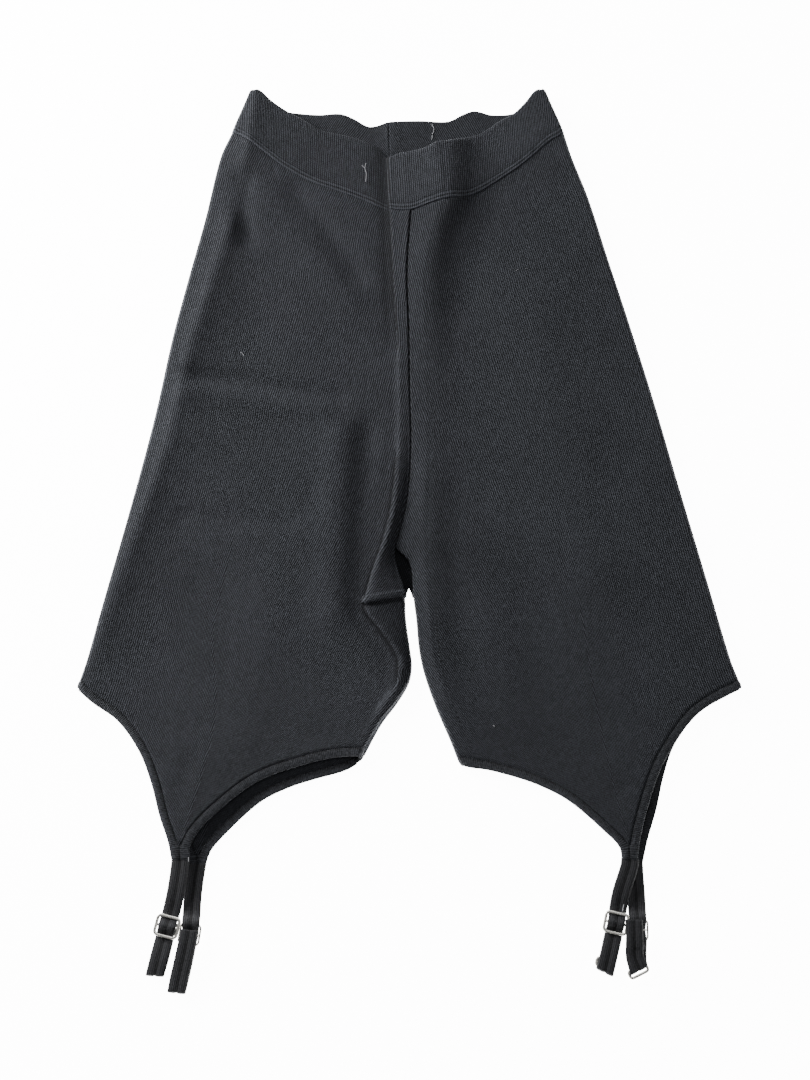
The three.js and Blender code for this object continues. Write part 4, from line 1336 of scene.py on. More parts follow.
@dataclass(frozen=True)
class KnitFinish:
    """The fine heavy knit of the legs and the band."""

    name: str = "fine black knit"
    wale: float = 1.55
    course: float = 1.15
    shade: Colour = (0.0022, 0.0024, 0.0032, 1)
    light: Colour = (0.054, 0.058, 0.068, 1)
    slant: float = 1.6
    bump: float = 0.7
    gloss: float = 0.16

    def material(self) -> bpy.types.Material:
        """Builds the knit's material from its stitch columns.

        Returns:
            The material.
        """
        sheet = NodeSheet(self.name)
        place, across, down, pale = sheet.cloth_place()
        wobble = (sheet.noise(place, 0.15, 2.0) - 0.5) * 0.8
        side = abs((across / self.wale + wobble).fraction() - 0.5)
        rib = (side * TURN).cosine() * 0.5 + 0.5
        lean = (down / self.course + side * self.slant).fraction() * TURN
        loop = lean.cosine() * 0.5 + 0.5
        stitch = rib * 0.5 + loop * 0.25 + rib * loop * 0.25
        speck = sheet.specks(across / self.wale * 2 + wobble * 2, down / self.course + side * self.slant)
        grain = sheet.noise(place, 1.4, 2.0) - 0.5
        mottle = sheet.noise(place, 0.13, 3.0) - 0.5
        broad = sheet.noise(place, 0.017, 2.0) - 0.5
        # pale brings in painted shade and highlights from the meshes.
        tone = stitch * 1.25 + speck * 0.3 + grain * 0.45 + mottle * 0.14 + broad * 0.2 + pale * 0.36 - 0.24
        colour = sheet.blend(tone.clamped(), self.shade, self.light)
        normal = sheet.bump(stitch + grain * 0.2, 0.0005, self.bump)
        sheet.feed(sheet.shader.inputs["Specular IOR Level"], self.gloss)
        return sheet.dress(base_color=colour, roughness=mottle * 0.16 + 0.86, normal=normal)


@dataclass(frozen=True)
class BindingFinish:
    """The narrow binding, knitted across, a touch smoother than the legs."""

    name: str = "black binding knit"
    rib: float = 1.2
    shade: Colour = (0.0022, 0.0024, 0.0031, 1)
    light: Colour = (0.050, 0.053, 0.061, 1)
    gloss: float = 0.18

    def material(self) -> bpy.types.Material:
        """Builds the binding's material from its fine cross ribs.

        Returns:
            The material.
        """
        sheet = NodeSheet(self.name)
        place, along, _, pale = sheet.cloth_place()
        rib = (along / self.rib * TURN).cosine() * 0.5 + 0.5
        grain = sheet.noise(place, 0.8, 3.0) - 0.5
        mottle = sheet.noise(place, 0.13, 3.0) - 0.5
        # pale brings in painted shade and highlights from the meshes.
        tone = rib * 0.3 + grain * 1.3 + mottle * 0.3 + pale * 0.3 + 0.13
        colour = sheet.blend(tone.clamped(), self.shade, self.light)
        normal = sheet.bump(rib * 0.8 + grain * 0.6, 0.0005, 0.6)
        sheet.feed(sheet.shader.inputs["Specular IOR Level"], self.gloss)
        return sheet.dress(base_color=colour, roughness=mottle * 0.2 + 0.84, normal=normal)


@dataclass(frozen=True)
class TapeFinish:
    """The woven elastic tape of the garter straps."""

    name: str = "black elastic tape"
    lane: float = 1.3
    pick: float = 0.9
    shade: Colour = (0.0020, 0.0021, 0.0026, 1)
    light: Colour = (0.042, 0.043, 0.048, 1)
    gloss: float = 0.24

    def material(self) -> bpy.types.Material:
        """Builds the tape's material from its lengthwise lanes and cross picks.

        Returns:
            The material.
        """
        sheet = NodeSheet(self.name)
        place, across, down, pale = sheet.cloth_place()
        lane = (across / self.lane * TURN).cosine() * 0.5 + 0.5
        pick = (down / self.pick * TURN).cosine() * 0.5 + 0.5
        grain = sheet.noise(place, 0.8, 3.0) - 0.5
        weave = lane * 0.55 + pick * 0.35
        # pale brings in painted shade from the meshes.
        tone = weave * 0.4 + grain * 0.9 + pale * 0.4 + 0.12
        colour = sheet.blend(tone.clamped(), self.shade, self.light)
        normal = sheet.bump(weave, 0.0003, 0.6)
        sheet.feed(sheet.shader.inputs["Specular IOR Level"], self.gloss)
        return sheet.dress(base_color=colour, roughness=grain * 0.3 + 0.74, normal=normal)


@dataclass(frozen=True)
class MetalFinish:
    """The pale polished metal of the sliders and rings."""

    name: str = "pale nickel"
    colour: Colour = (0.86, 0.85, 0.80, 1)
    worn: Colour = (0.66, 0.64, 0.58, 1)

    def material(self) -> bpy.types.Material:
        """Builds the metal's material with faint handling marks.

        Returns:
            The material.
        """
        sheet = NodeSheet(self.name)
        place = sheet.add("ShaderNodeTexCoord", {}, {}, "Object")
        marks = sheet.noise(place, 420.0, 4.0)
        colour = sheet.blend((marks * 1.6 - 0.5).clamped(), self.colour, self.worn)
        normal = sheet.bump(marks, 0.00005, 0.3)
        return sheet.dress(base_color=colour, metallic=1.0, roughness=0.2 + marks * 0.16, normal=normal)


@dataclass(frozen=True)
class ThreadFinish:
    """The pale stray threads and bits of lint."""

    name: str = "pale thread"
    colour: Colour = (0.36, 0.36, 0.37, 1)
    shade: Colour = (0.22, 0.22, 0.24, 1)

    def material(self) -> bpy.types.Material:
        """Builds the thread's material.

        Returns:
            The material.
        """
        sheet = NodeSheet(self.name)
        place = sheet.add("ShaderNodeTexCoord", {}, {}, "Object")
        fibre = sheet.noise(place, 900.0, 2.0)
        colour = sheet.blend(fibre, self.colour, self.shade)
        return sheet.dress(base_color=colour, roughness=0.8)


@dataclass(frozen=True)
class FloorFinish:
    """The plain white surface that the garment lies on."""

    name: str = "white table"
    colour: Colour = (0.9, 0.9, 0.9, 1)
    shade: Colour = (0.88, 0.88, 0.88, 1)
    glow: float = 13.0

    def material(self) -> bpy.types.Material:
        """Builds the surface's material with the faintest unevenness.

        Returns:
            The material.
        """
        sheet = NodeSheet(self.name)
        place = sheet.add("ShaderNodeTexCoord", {}, {}, "Object")
        haze = sheet.noise(place, 3.0, 2.0)
        colour = sheet.blend(haze, self.colour, self.shade)
        sheet.feed(sheet.shader.inputs["Emission Strength"], self.glow)
        return sheet.dress(base_color=colour, roughness=0.7, emission_color=WHITE)


@dataclass
class Finishes:
    """Every finish of the garment, each built once."""

    knit: bpy.types.Material = field(default_factory=KnitFinish().material)
    binding: bpy.types.Material = field(default_factory=BindingFinish().material)
    tape: bpy.types.Material = field(default_factory=TapeFinish().material)
    metal: bpy.types.Material = field(default_factory=MetalFinish().material)
    thread: bpy.types.Material = field(default_factory=ThreadFinish().material)


def seat(piece: bpy.types.Object, material: bpy.types.Material, slot: str, *nodes: str) -> bpy.types.Object:
    """Dresses a finished piece and joins it to the frame.

    Args:
        piece: the object, with its place in its mesh.
        material: its finish.
        slot: the record's material slot; not used.
        nodes: the CAD nodes that it stands for.

    Returns:
        The same object.
    """
    piece.data.materials.clear()
    piece.data.materials.append(material)
    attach(piece, BODY)
    if nodes:
        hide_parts(*nodes)
    LOG.info("%s: %d faces", piece.name, len(piece.data.polygons))
    return piece


@dataclass(frozen=True)
class InseamSizes:
    """The inner-leg seam where it crosses the rolled flap, in millimetres from its lower edge."""

    line_x: float = -31
    line_y: float = -62.5
    slope: float = 0.2
    lowest: float = -6
    highest: float = 7
    stitches: tuple[float, ...] = (0.6, 2.2, 3.8)
    stitch_width: float = 0.5

    def section(self, place: Vector) -> tuple[float, float]:
        """Reads the seam at a place on the front.

        Args:
            place: the middle point there.

        Returns:
            The seam's height and its paleness, with painted shadow just below its ridge.
        """
        above = place.y - (self.line_y + self.slope * (place.x - self.line_x))
        if not self.lowest < above < self.highest:
            return 0.0, 0.0
        ridge = smooth((above + 0.3) / 0.7) * (1 - smooth((above - 4.2) / 1.0))
        thread = sum(bell(above - at, self.stitch_width) for at in self.stitches)
        # below darkens the cloth just under the ridge as painted shadow, and sinks it there too.
        below = bell(above + 1.9, 1.4)
        return ridge + 0.35 * thread - 0.8 * below, thread - 0.2 * ridge - 0.9 * below


INSEAM = InseamSizes()


@dataclass
class LegPanel:
    """One leg: a single panel that wraps from the front centre seam to the back one."""

    form: SideForm
    resolution: Resolution
    edge_tilt: float = 14.5
    flat_size: tuple[float, float] = (0.47, 0.56)
    flat_area: float = 0.160
    # Painted shadow on the back layer seen through the crotch opening.
    shadow: float = 1.4
    shadow_reach: float = 14
    shadow_low: float = -58
    shadow_high: float = -10
    closed_from: int = 0
    tucked: list[float] = field(default_factory=list)
    grid: list[list[Vector]] = field(default_factory=list)

    @property
    def front(self) -> int:
        """How many columns the front layer has."""
        return len(self.form.columns[False])

    def _cloth_places(self) -> list[list[Point]]:
        """Each point's place in the cloth: wales run beside the outer fold.

        Returns:
            The places, by row and column.
        """
        fold = self.front - 1
        tilt = math.radians(self.edge_tilt)
        sign = self.form.cut.sign
        places = []
        for row in self.grid:
            across = lengths_along(row)
            places.append([
                (across[i] - across[fold], sign * p.x * math.sin(tilt) - p.y * math.cos(tilt))
                for i, p in enumerate(row)
            ])
        return places

    def _near_seam(self, j: int, i: int) -> float:
        """How near a place on the front lies to the open centre seam, from 0 to 1.

        Args:
            j: row number.
            i: column number.

        Returns:
            The nearness.
        """
        column = self.form.columns[False][i]
        if j >= self.closed_from or column.part is not Stretch.INNER_FOLD:
            return 0.0
        return bell(SIZES.fold_radius * (1 - math.cos(column.share)), 0.5)

    def _pinch(self, j: int, i: int) -> float:
        """How much thinner each face of the wall is inside the raised fold.

        Args:
            j: row number.
            i: column number.

        Returns:
            The loss.
        """
        column = self.form.columns[False][i]
        if column.part is not Stretch.PLEAT:
            return 0.0
        return 0.5 * bell(column.share - 0.58, 0.26) * self.tucked[j]

    def _inseam(self, j: int, i: int) -> tuple[float, float]:
        """Height and paleness of the inner-leg seam where it crosses the rolled flap.

        Args:
            j: row number.
            i: column number.

        Returns:
            The height and the paleness.
        """
        column = self.form.columns[False][i]
        flap = column.part in (Stretch.STRIP, Stretch.INNER_FOLD)
        if self.form.cut.sign > 0 or not (flap or column.part is Stretch.PLEAT and column.share < 0.4):
            return 0.0, 0.0
        return INSEAM.section(self.grid[j][i])

    def _outer(self, j: int, i: int) -> float:
        """Extra height of the outer face.

        Args:
            j: row number.
            i: column number.

        Returns:
            The height.
        """
        if i >= self.front:
            return 0.0
        seam = self._near_seam(j, i)
        return self._inseam(j, i)[0] - 0.7 * seam - self._pinch(j, i)

    def _inner(self, j: int, i: int) -> float:
        """Extra height of the inner face."""
        return -self._pinch(j, i) if i < self.front else 0.0

    def _tint(self, j: int, i: int) -> float:
        """Paleness of the stitches, and painted shade in the grooves, in the raised fold's crevice and on
        the back at the crotch.

        Args:
            j: row number.
            i: column number.

        Returns:
            The paleness, below 0 where it is darker.
        """
        if i >= self.front:
            place = self.grid[j][i]
            beside = abs(place.x) < self.shadow_reach
            return -self.shadow if beside and self.shadow_low < place.y < self.shadow_high else 0.0
        # The centre seam's groove and the raised fold's crevice are painted darker, as shade.
        crevice = self.form.shade(i, self.grid[j], self.tucked[j])
        return self._inseam(j, i)[1] - 0.7 * self._near_seam(j, i) - crevice

    def build(self, finishes: Finishes) -> bpy.types.Object:
        """Makes the panel and joins it to the frame.

        Args:
            finishes: the garment's finishes.

        Returns:
            The panel's object.
        """
        rows = self.resolution.rows()
        self.grid = [self.form.ring(v) for v in rows]
        self.closed_from = next(k for k, v in enumerate(rows) if v >= SIZES.crotch_v - SLACK)
        self.tucked = [self.form.tuck(mix(SIZES.waist_y, SIZES.leg_end_y, v)) for v in rows]
        name = self.form.cut.name
        wall = WallMesh(
            self.grid, self._cloth_places(), SIZES.leg_wall, self.form.cut.sign, self.closed_from,
            self._outer, self._inner, self._tint,
        )
        return seat(wall.build(f"{name}_leg_cloth"), finishes.knit, "knit", f"{name}_leg")


@dataclass
class Waistband:
    """The doubled band: one strip from the back seam round the front and home."""

    left: SideForm
    right: SideForm
    height: float = 36.0
    distances: tuple[float, ...] = (
        0.4, 0.8, 1.2, 1.7, 2.2, 2.7, 3.1, 3.5, 4.0, 4.8, 6, 8.5, 11, 14, 17, 20, 23, 26, 29, 31.5,
        33.5, 34.8, 36,
    )
    flat_size: tuple[float, float] = (0.51, 0.04)
    stitch_low: float = 0.7
    stitch_high: float = 3.1
    # Painted shade on the back of the band, seen inside the waist opening.
    back_painted_shade: float = 0.25

    def _outer(self, j: int) -> float:
        """Height of the waist seam's rib and stitch lines, and of the rolled top edge.

        Args:
            j: number of the distance up the band.

        Returns:
            The height.
        """
        d = self.distances[j]
        taper = 0.5 * (1 - smooth(d / 8))
        rib = 0.1 * smooth(d / 0.7) * (1 - smooth((d - 3.4) / 0.5))
        stitches = 0.16 * (bell(d - self.stitch_low, 0.35) + bell(d - self.stitch_high, 0.35))
        return rib + stitches - taper - 0.16 * bell(d - 4.0, 0.5) + 0.12 * bell(d - 33.8, 1.4)

    def _tint(self, j: int) -> float:
        """Paleness of the seam's stitches, a dark line between them, and painted shade in the groove above.

        Args:
            j: number of the distance up the band.

        Returns:
            The paleness, below 0 where it is darker.
        """
        d = self.distances[j]
        pale = 1.2 * bell(d - self.stitch_low, 0.5) + 0.9 * bell(d - self.stitch_high, 0.5)
        # The dip at 4.1 mm is painted shade in the groove above the seam's rib.
        return pale - 0.6 * bell(d - 1.9, 0.5) - 0.5 * bell(d - 4.1, 0.5)

    def _shade(self, left: list[Vector], right: list[Vector], folded: int) -> list[float]:
        """Painted shade of one row inside the front's raised fold and on the band's back.

        Args:
            left: the left side's ring.
            right: the right side's ring.
            folded: first column that the band keeps.

        Returns:
            The darkness at each column of the band.
        """
        sides = []
        for form, ring in ((self.left, left), (self.right, right)):
            tucked = form.tuck(SIZES.waist_y)
            front = len(form.columns[False])
            dark = [form.shade(i, ring, tucked) for i in range(folded, front)]
            sides.append(dark + [self.back_painted_shade] * (len(ring) - front))
        return sides[0][::-1] + [0.0] + sides[1]

    @staticmethod
    def _back_seam(row: list[Vector]) -> list[float]:
        """Height of the raised back seam at each column of a row.

        Args:
            row: the row's middle points.

        Returns:
            The heights.
        """
        across = lengths_along(row)
        from_end = [min(at, across[-1] - at) for at in across]
        return [0.55 * (1 - smooth((at - 1.8) / 0.8)) - 0.3 * bell(at, 0.5) for at in from_end]

    def build(self, finishes: Finishes) -> bpy.types.Object:
        """Makes the band and joins it to the frame.

        Args:
            finishes: the garment's finishes.

        Returns:
            The band's object.
        """
        lift = (SIZES.band_wall - SIZES.leg_wall) / 2
        folded = len([c for c in self.left.columns[False] if c.part is Stretch.INNER_FOLD]) + 1
        grid, shade = [], []
        for distance in self.distances:
            left, right = (form.ring(-distance / self.height, lift) for form in (self.left, self.right))
            centre = (left[0] + right[0]) / 2
            grid.append(left[folded:][::-1] + [centre] + right[folded:])
            shade.append(self._shade(left, right, folded))
        middle = len(grid[0]) // 2
        places = []
        for row, distance in zip(grid, self.distances):
            across = lengths_along(row)
            places.append([(at - across[middle], -distance) for at in across])
        for rows in (grid, places, shade):
            rows.reverse()
        last = len(grid) - 1
        seam = [self._back_seam(row) for row in grid]
        # seam also paints the raised back seam paler on its top and darker at its end, as light and shade.
        wall = WallMesh(
            grid, places, SIZES.band_wall, 1,
            outer=lambda j, _i: self._outer(last - j), inner=lambda j, i: seam[j][i],
            tint=lambda j, i: self._tint(last - j) + seam[j][i] * 0.6 - shade[j][i],
        )
        return seat(wall.build("band_cloth"), finishes.knit, "knit", "waistband")


@dataclass
class HemBindings:
    """The two narrow strips that bind one leg opening and meet on the tongues."""

    form: SideForm
    rows: tuple[float, ...] = (0.06, 0.14, 0.26, 0.4, 0.55, 0.7, 0.84, 0.94, 1.0)
    tail_steps: tuple[float, ...] = (0.0, 0.12, 0.3, 0.45, 0.6, 0.8, 1.0)
    roll: float = 0.6
    inner_start: float = 0.018
    outer_start: float = 0.016
    tail_aside: float = 0.3

    def _hem_point(self, column: Column, back: bool, x: float, start_x: float) -> Point:
        """Plan point on the hem under a column of the lowest leg ring.

        Args:
            column: the column.
            back: True for the back layer.
            x: plan x of the column's point.
            start_x: plan x at which the strip beside the seam begins.

        Returns:
            The plan point.
        """
        sign = self.form.cut.sign
        inset = SIZES.leg_wall / 2
        if column.part is Stretch.INNER_FOLD:
            own, other = self.form.hem(back, False, 0), self.form.hem(not back, False, 0)
            middle = ((own[0] + other[0]) / 2, (own[1] + other[1]) / 2)
            t = math.sin(column.share)
            fold = sign * (inset + SIZES.fold_radius * (1 - math.cos(column.share)))
            return mix(middle[0], own[0], t) + fold, mix(middle[1], own[1], t)
        if column.part is Stretch.OUTER_FOLD:
            corner = self.form.hem(back, True, 0)
            return corner[0] - sign * (inset + SIZES.fold_radius * (1 - math.cos(column.share))), corner[1]
        if column.part is Stretch.OUTER_START:
            return self.form.hem(back, True, self.outer_start)
        if column.part in (Stretch.INNER_ARC, Stretch.OUTER_ARC):
            return self.form.hem(back, column.part is Stretch.OUTER_ARC, column.share)
        first = self.form.hem(back, False, SIZES.inner_arc_from, top=True)[0]
        share = clamp01((x - start_x) / (first - start_x))
        return self.form.hem(back, False, mix(self.inner_start, SIZES.inner_arc_from, share))

    def _tail(self, back: bool, inner: bool, z: float) -> list[tuple[Vector, Point]]:
        """The stretch beside the neighbour's, from the neck down to the strap.

        Args:
            back: True for the back layer.
            inner: whether it is the strip on the inner side.
            z: its height.

        Returns:
            Pairs of an upper point and a hem point.
        """
        form = self.form
        necks = [form.hem(back, outer, SIZES.neck(back), top=True) for outer in (False, True)]
        tip = ((necks[0][0] + necks[1][0]) / 2, (necks[0][1] + necks[1][1]) / 2)
        aside = (1 if inner else -1) * form.cut.sign * self.tail_aside
        tail = []
        for step in self.tail_steps:
            share = mix(SIZES.neck(back), 1, max(0.03, step))
            inside, outside = form.hem(back, False, share), form.hem(back, True, share)
            centre = ((inside[0] + outside[0]) / 2 + aside, (inside[1] + outside[1]) / 2)
            t = clamp01(step * 4)
            top = Vector((mix(tip[0] + aside, centre[0], t), mix(tip[1], centre[1], t), z))
            tail.append((top, inside if inner else outside))
        return tail

    def _runs(self) -> dict[str, list[tuple[Vector, Point]]]:
        """Both strips as pairs of an upper point and a hem point.

        Returns:
            The pairs of the inner and of the outer strip.
        """
        form = self.form
        lift = (SIZES.binding_wall - SIZES.leg_wall) / 2
        ring = form.ring(1, lift)
        front = [(column, False) for column in form.columns[False]]
        back = [(column, True) for column in form.columns[True]][::-1][1:]
        start_x = next(p.x for (c, _), p in zip(front, ring) if c.part is Stretch.STRIP)
        entries = []
        for (column, is_back), top in zip(front + back, ring):
            hem = self._hem_point(column, is_back, top.x, start_x)
            entries.append((column, is_back, (top, hem)))
        pairs = [pair for _, _, pair in entries]

        def first(part: Stretch, is_back: bool) -> int:
            """Number of the first entry in a stretch of one layer."""
            return next(k for k, (c, b, _) in enumerate(entries) if c.part is part and b == is_back)

        outer_start, outer_end = first(Stretch.OUTER_ARC, False), first(Stretch.INNER_ARC, True)
        front_z, back_z = pairs[outer_start][0].z, SIZES.back_level + lift
        inner = (
            self._tail(True, True, back_z)[::-1] + pairs[outer_end:-1] + pairs[:outer_start]
            + self._tail(False, True, front_z)
        )
        outer = (
            self._tail(False, False, front_z)[::-1] + pairs[outer_start:outer_end]
            + self._tail(True, False, back_z)
        )
        return {"inner": inner, "outer": outer}

    def build(self, finishes: Finishes) -> list[bpy.types.Object]:
        """Makes both strips and joins them to the frame.

        Args:
            finishes: the garment's finishes.

        Returns:
            The two strips' objects.
        """
        side = self.form.cut.name
        pieces = []
        for kind, run in self._runs().items():
            grid = [
                [Vector((mix(top.x, hem[0], row), mix(top.y, hem[1], row), top.z)) for top, hem in run]
                for row in self.rows
            ]
            along = lengths_along(grid[-1])
            places = [[(at, row * SIZES.binding_width) for at in along] for row in self.rows]
            relief = [self.roll * math.sin(math.pi * clamp01(row)) ** 0.7 - 0.3 for row in self.rows]
            # pale paints a highlight along the binding's roll and shade in the groove where it meets the
            # leg.
            pale = [0.5 * bell(row - 0.72, 0.22) - 0.8 * bell(row, 0.16) for row in self.rows]
            wall = WallMesh(
                grid, places, SIZES.binding_wall, self.form.cut.sign,
                outer=lambda j, _i, relief=relief: relief[j],
                tint=lambda j, _i, pale=pale: pale[j],
            )
            piece = wall.build(f"{side}_{kind}_hem")
            pieces.append(seat(piece, finishes.binding, "binding", f"{side}_{kind}_binding"))
        return pieces


@dataclass(frozen=True)
class MetalSizes:
    """The sliders' and rings' sizes, in millimetres."""

    bar: float = 1.8
    back_bar: float = 1.2
    thick: float = 1.4
    slider_length: float = 15.0
    slider_width: float = 16.6
    back_width: float = 14.6
    ring_length: float = 7.0
    corner: float = 3.6
    fuller: float = 0.25
    corner_share: float = 0.4
    bar_inset: float = 1.2
    bar_share: float = 0.94
    rounding: float = 0.34


METAL = MetalSizes()


@dataclass(frozen=True)
class StrapCut:
    """One garter strap: its route in plan and its places along it, in millimetres."""

    name: str
    front: bool
    start: float
    ramp: float
    slider: float
    home: float
    end: float
    slant: float
    drift: float
    path: tuple[Point, ...]


STRAPS = (
    StrapCut("left_front", True, 5, 22, 44.5, 41.5, 78.3, -0.16, 0.3,
             ((-155.1, -237), (-155.9, -246), (-158.4, -262), (-163.2, -281), (-171.4, -316))),
    StrapCut("left_back", False, 1.1, 14, 46.5, 43.5, 86, -0.1, -0.4,
             ((-144, -239.6), (-145.5, -250), (-146.7, -262), (-147.7, -284), (-156.6, -327))),
    StrapCut("right_front", True, 5, 22, 42.4, 39.4, 76.4, 0.2, 0.5,
             ((149.3, -237.4), (148.9, -241), (147.2, -246), (142.8, -259), (139, -278.5),
              (129.6, -315))),
    StrapCut("right_back", False, 1.1, 14, 43.5, 36.5, 71, -0.5, -2.6,
             ((152.6, -239.6), (153, -250), (153.6, -262), (153.6, -282), (153.4, -313))),
)


class RingCut(NamedTuple):
    """A strap's end ring: its width, how it is seated, and how far it is turned."""

    strap: str
    threaded: bool
    width: float
    aside: float
    turn: float


RINGS = (
    RingCut("right_back", True, 14.6, 0.0, 0.46),
    RingCut("right_front", False, 13.0, -1.2, 0.1),
)


@dataclass(frozen=True)
class TapeSizes:
    """The tape's sizes and the heights of its middle from the surface up, in millimetres."""

    wall: float = 1.4
    width: float = 12.1
    gap: float = 0.3

    @property
    def step_up(self) -> float:
        """Height of a bar's middle over that of the tape under it."""
        return self.wall / 2 + self.gap + METAL.thick / 2

    @property
    def low(self) -> float:
        """Height of the tape's middle on the surface."""
        return self.wall / 2

    @property
    def second(self) -> float:
        """Height of the middle of a layer that lies on another one."""
        return self.low + self.wall + self.gap

    @property
    def over_bar(self) -> float:
        """Height of the tape's middle over a bar whose lower tape is on the surface."""
        return self.low + 2 * self.step_up


TAPE = TapeSizes()


def round_corners(points: list[Point], times: int) -> list[Point]:
    """Cuts the corners of an open line, keeping its ends.

    Args:
        points: the line's points.
        times: how often every corner is cut.

    Returns:
        The smoother line.
    """
    for _ in range(times):
        cut = [points[0]]
        for a, b in zip(points, points[1:]):
            cut.append((mix(a[0], b[0], 0.25), mix(a[1], b[1], 0.25)))
            cut.append((mix(a[0], b[0], 0.75), mix(a[1], b[1], 0.75)))
        points = cut + [points[-1]]
    return points


@dataclass
class GarterStrap:
    """One strap: the tape and the metal slider that it is threaded through."""

    cut: StrapCut
    side_steps: int = 6
    groove: float = 0.5
    turn_room: float = 14

    def __post_init__(self) -> None:
        """Measures the strap's route."""
        self.route = PlanCurve(self.cut.path)

    @property
    def turn_at(self) -> float:
        """Distance down the strap at which the tape turns back."""
        return self.cut.end - TAPE.step_up - TAPE.wall / 2

    def frame(self, distance: float) -> tuple[Point, Point]:
        """Plan point and direction at a distance down the strap, or inside the hem above it.

        Args:
            distance: distance down the strap.

        Returns:
            The point and the unit direction.
        """
        (x, y), (tx, ty) = self.route.frame(distance / self.route.length)
        above = min(0.0, distance)
        return (x + tx * above, y + ty * above), (tx, ty)

    def profile(self) -> list[Point]:
        """Side view of the tape: distance down the strap and height.

        Returns:
            The corners of its middle line.
        """
        cut, levels = self.cut, TAPE
        slot = METAL.slider_length / 2 - METAL.bar - levels.gap
        half_bar = METAL.bar / 2 + levels.gap
        bar = levels.second if cut.front else levels.over_bar
        hump = levels.second + 2 * levels.step_up if cut.front else levels.low
        ring_out = levels.over_bar if cut.front else levels.low
        ring_home = levels.low if cut.front else levels.over_bar
        home = levels.low if cut.front else bar + levels.wall + levels.gap
        middle = levels.low + levels.step_up
        way = 1 if cut.front else -1
        turn = [
            (self.turn_at + levels.step_up * math.cos(a), middle + way * levels.step_up * math.sin(a))
            for a in (math.pi / 4, 0.0, -math.pi / 4)
        ]
        at = cut.slider
        return [
            (-1.4, cut.start), (at - cut.ramp, cut.start), (at - 9, bar), (at - slot, bar),
            (at - half_bar, hump), (at + half_bar, hump), (at + slot, bar), (at + 8.5, bar),
            (cut.end - self.turn_room, ring_out), (self.turn_at, ring_out), *turn, (self.turn_at, ring_home),
            (cut.end - self.turn_room, ring_home), (at + 9.5, home), (cut.home, home),
        ]

    def _section(self) -> list[Point]:
        """The tape's cross-section: place across and height, upper side first.

        Returns:
            The section's points in order.
        """
        half = TAPE.width / 2
        steps = 2 * self.side_steps
        upper = []
        for k in range(steps + 1):
            a = -math.cos(math.pi * k / steps) * half
            thick = TAPE.wall / 2 * (1 - (abs(a) / half) ** 6) ** 0.5
            upper.append((a, max(0.12, thick - self.groove * bell(a, 0.7))))
        return upper + [(a, -z) for a, z in reversed(upper)]

    def tape(self, finishes: Finishes) -> bpy.types.Object:
        """Makes the tape and joins it to the frame.

        Args:
            finishes: the garment's finishes.

        Returns:
            The tape's object.
        """
        line = round_corners(self.profile(), 2)
        section = self._section()
        travelled = lengths_along([Vector((s, z, 0)) for s, z in line])
        turn = travelled[max(range(len(line)), key=lambda k: line[k][0])]
        vertices, marks, faces = [], [], []
        count = len(section)
        for k, (s, z) in enumerate(line):
            before, after = line[max(0, k - 1)], line[min(len(line) - 1, k + 1)]
            length = math.dist(before, after)
            normal = (-(after[1] - before[1]) / length, (after[0] - before[0]) / length)
            ramp = smooth((s - (self.cut.end - self.turn_room)) / 11)
            going_home = travelled[k] > turn
            drift = self.cut.drift * smooth((self.cut.end - s - 2) / 10) if going_home else 0.0
            slot = 1 - 0.05 * bell(s - self.cut.slider, 7)
            for part, h in section:
                a = part * slot + drift
                (x, y), (tx, ty) = self.frame(s + normal[0] * h)
                slide = self.cut.slant * a * ramp
                height = max(0.0, z + normal[1] * h)
                vertices.append(Vector((x - ty * a + tx * slide, y + tx * a + ty * slide, height)) * MM)
                # The tape is painted darker in its middle groove and along its rounded edges, as shade.
                edge = TAPE.width / 2
                dark = 0.8 * bell(part, 0.8) + 0.5 * bell(abs(part) - edge, 0.7)
                marks.append((part, travelled[k], -dark))
        for k in range(len(line) - 1):
            for c in range(count):
                a, b = k * count + c, k * count + (c + 1) % count
                faces.append((a, b, b + count, a + count))
        last = (len(line) - 1) * count
        faces.append(tuple(reversed(range(count))))
        faces.append(tuple(range(last, last + count)))
        piece = smooth_piece(marked_mesh(f"{self.cut.name}_tape", vertices, faces, marks))
        turn_outwards(piece)
        return seat(piece, finishes.tape, "tape", f"{self.cut.name}_strap")

    def slider(self, finishes: Finishes) -> bpy.types.Object:
        """Makes the slider on its strap and joins it to the frame.

        Args:
            finishes: the garment's finishes.

        Returns:
            The slider's object.
        """
        height = (TAPE.second if self.cut.front else TAPE.low) + TAPE.step_up
        width, bar = METAL.slider_width, METAL.bar
        if not self.cut.front:
            width, bar = METAL.back_width, METAL.back_bar
        piece = MetalFrame(width, METAL.slider_length, True, bar).build(f"{self.cut.name}_buckle")
        self.place(piece, self.cut.slider, height, 0.0, 0.0)
        return seat(piece, finishes.metal, "metal", f"{self.cut.name}_slider")

    def ring(self, ring: RingCut, finishes: Finishes) -> bpy.types.Object:
        """Makes the strap's end ring and joins it to the frame.

        Args:
            ring: the ring's cut.
            finishes: the garment's finishes.

        Returns:
            The ring's object.
        """
        back_off = -METAL.bar + METAL.ring_length / 2 if ring.threaded else -1 - METAL.ring_length / 2
        piece = MetalFrame(ring.width, METAL.ring_length, False).build(f"{self.cut.name}_end_loop")
        self.place(piece, self.turn_at + back_off, TAPE.low + TAPE.step_up, ring.aside, ring.turn)
        return seat(piece, finishes.metal, "metal", f"{self.cut.name}_ring")

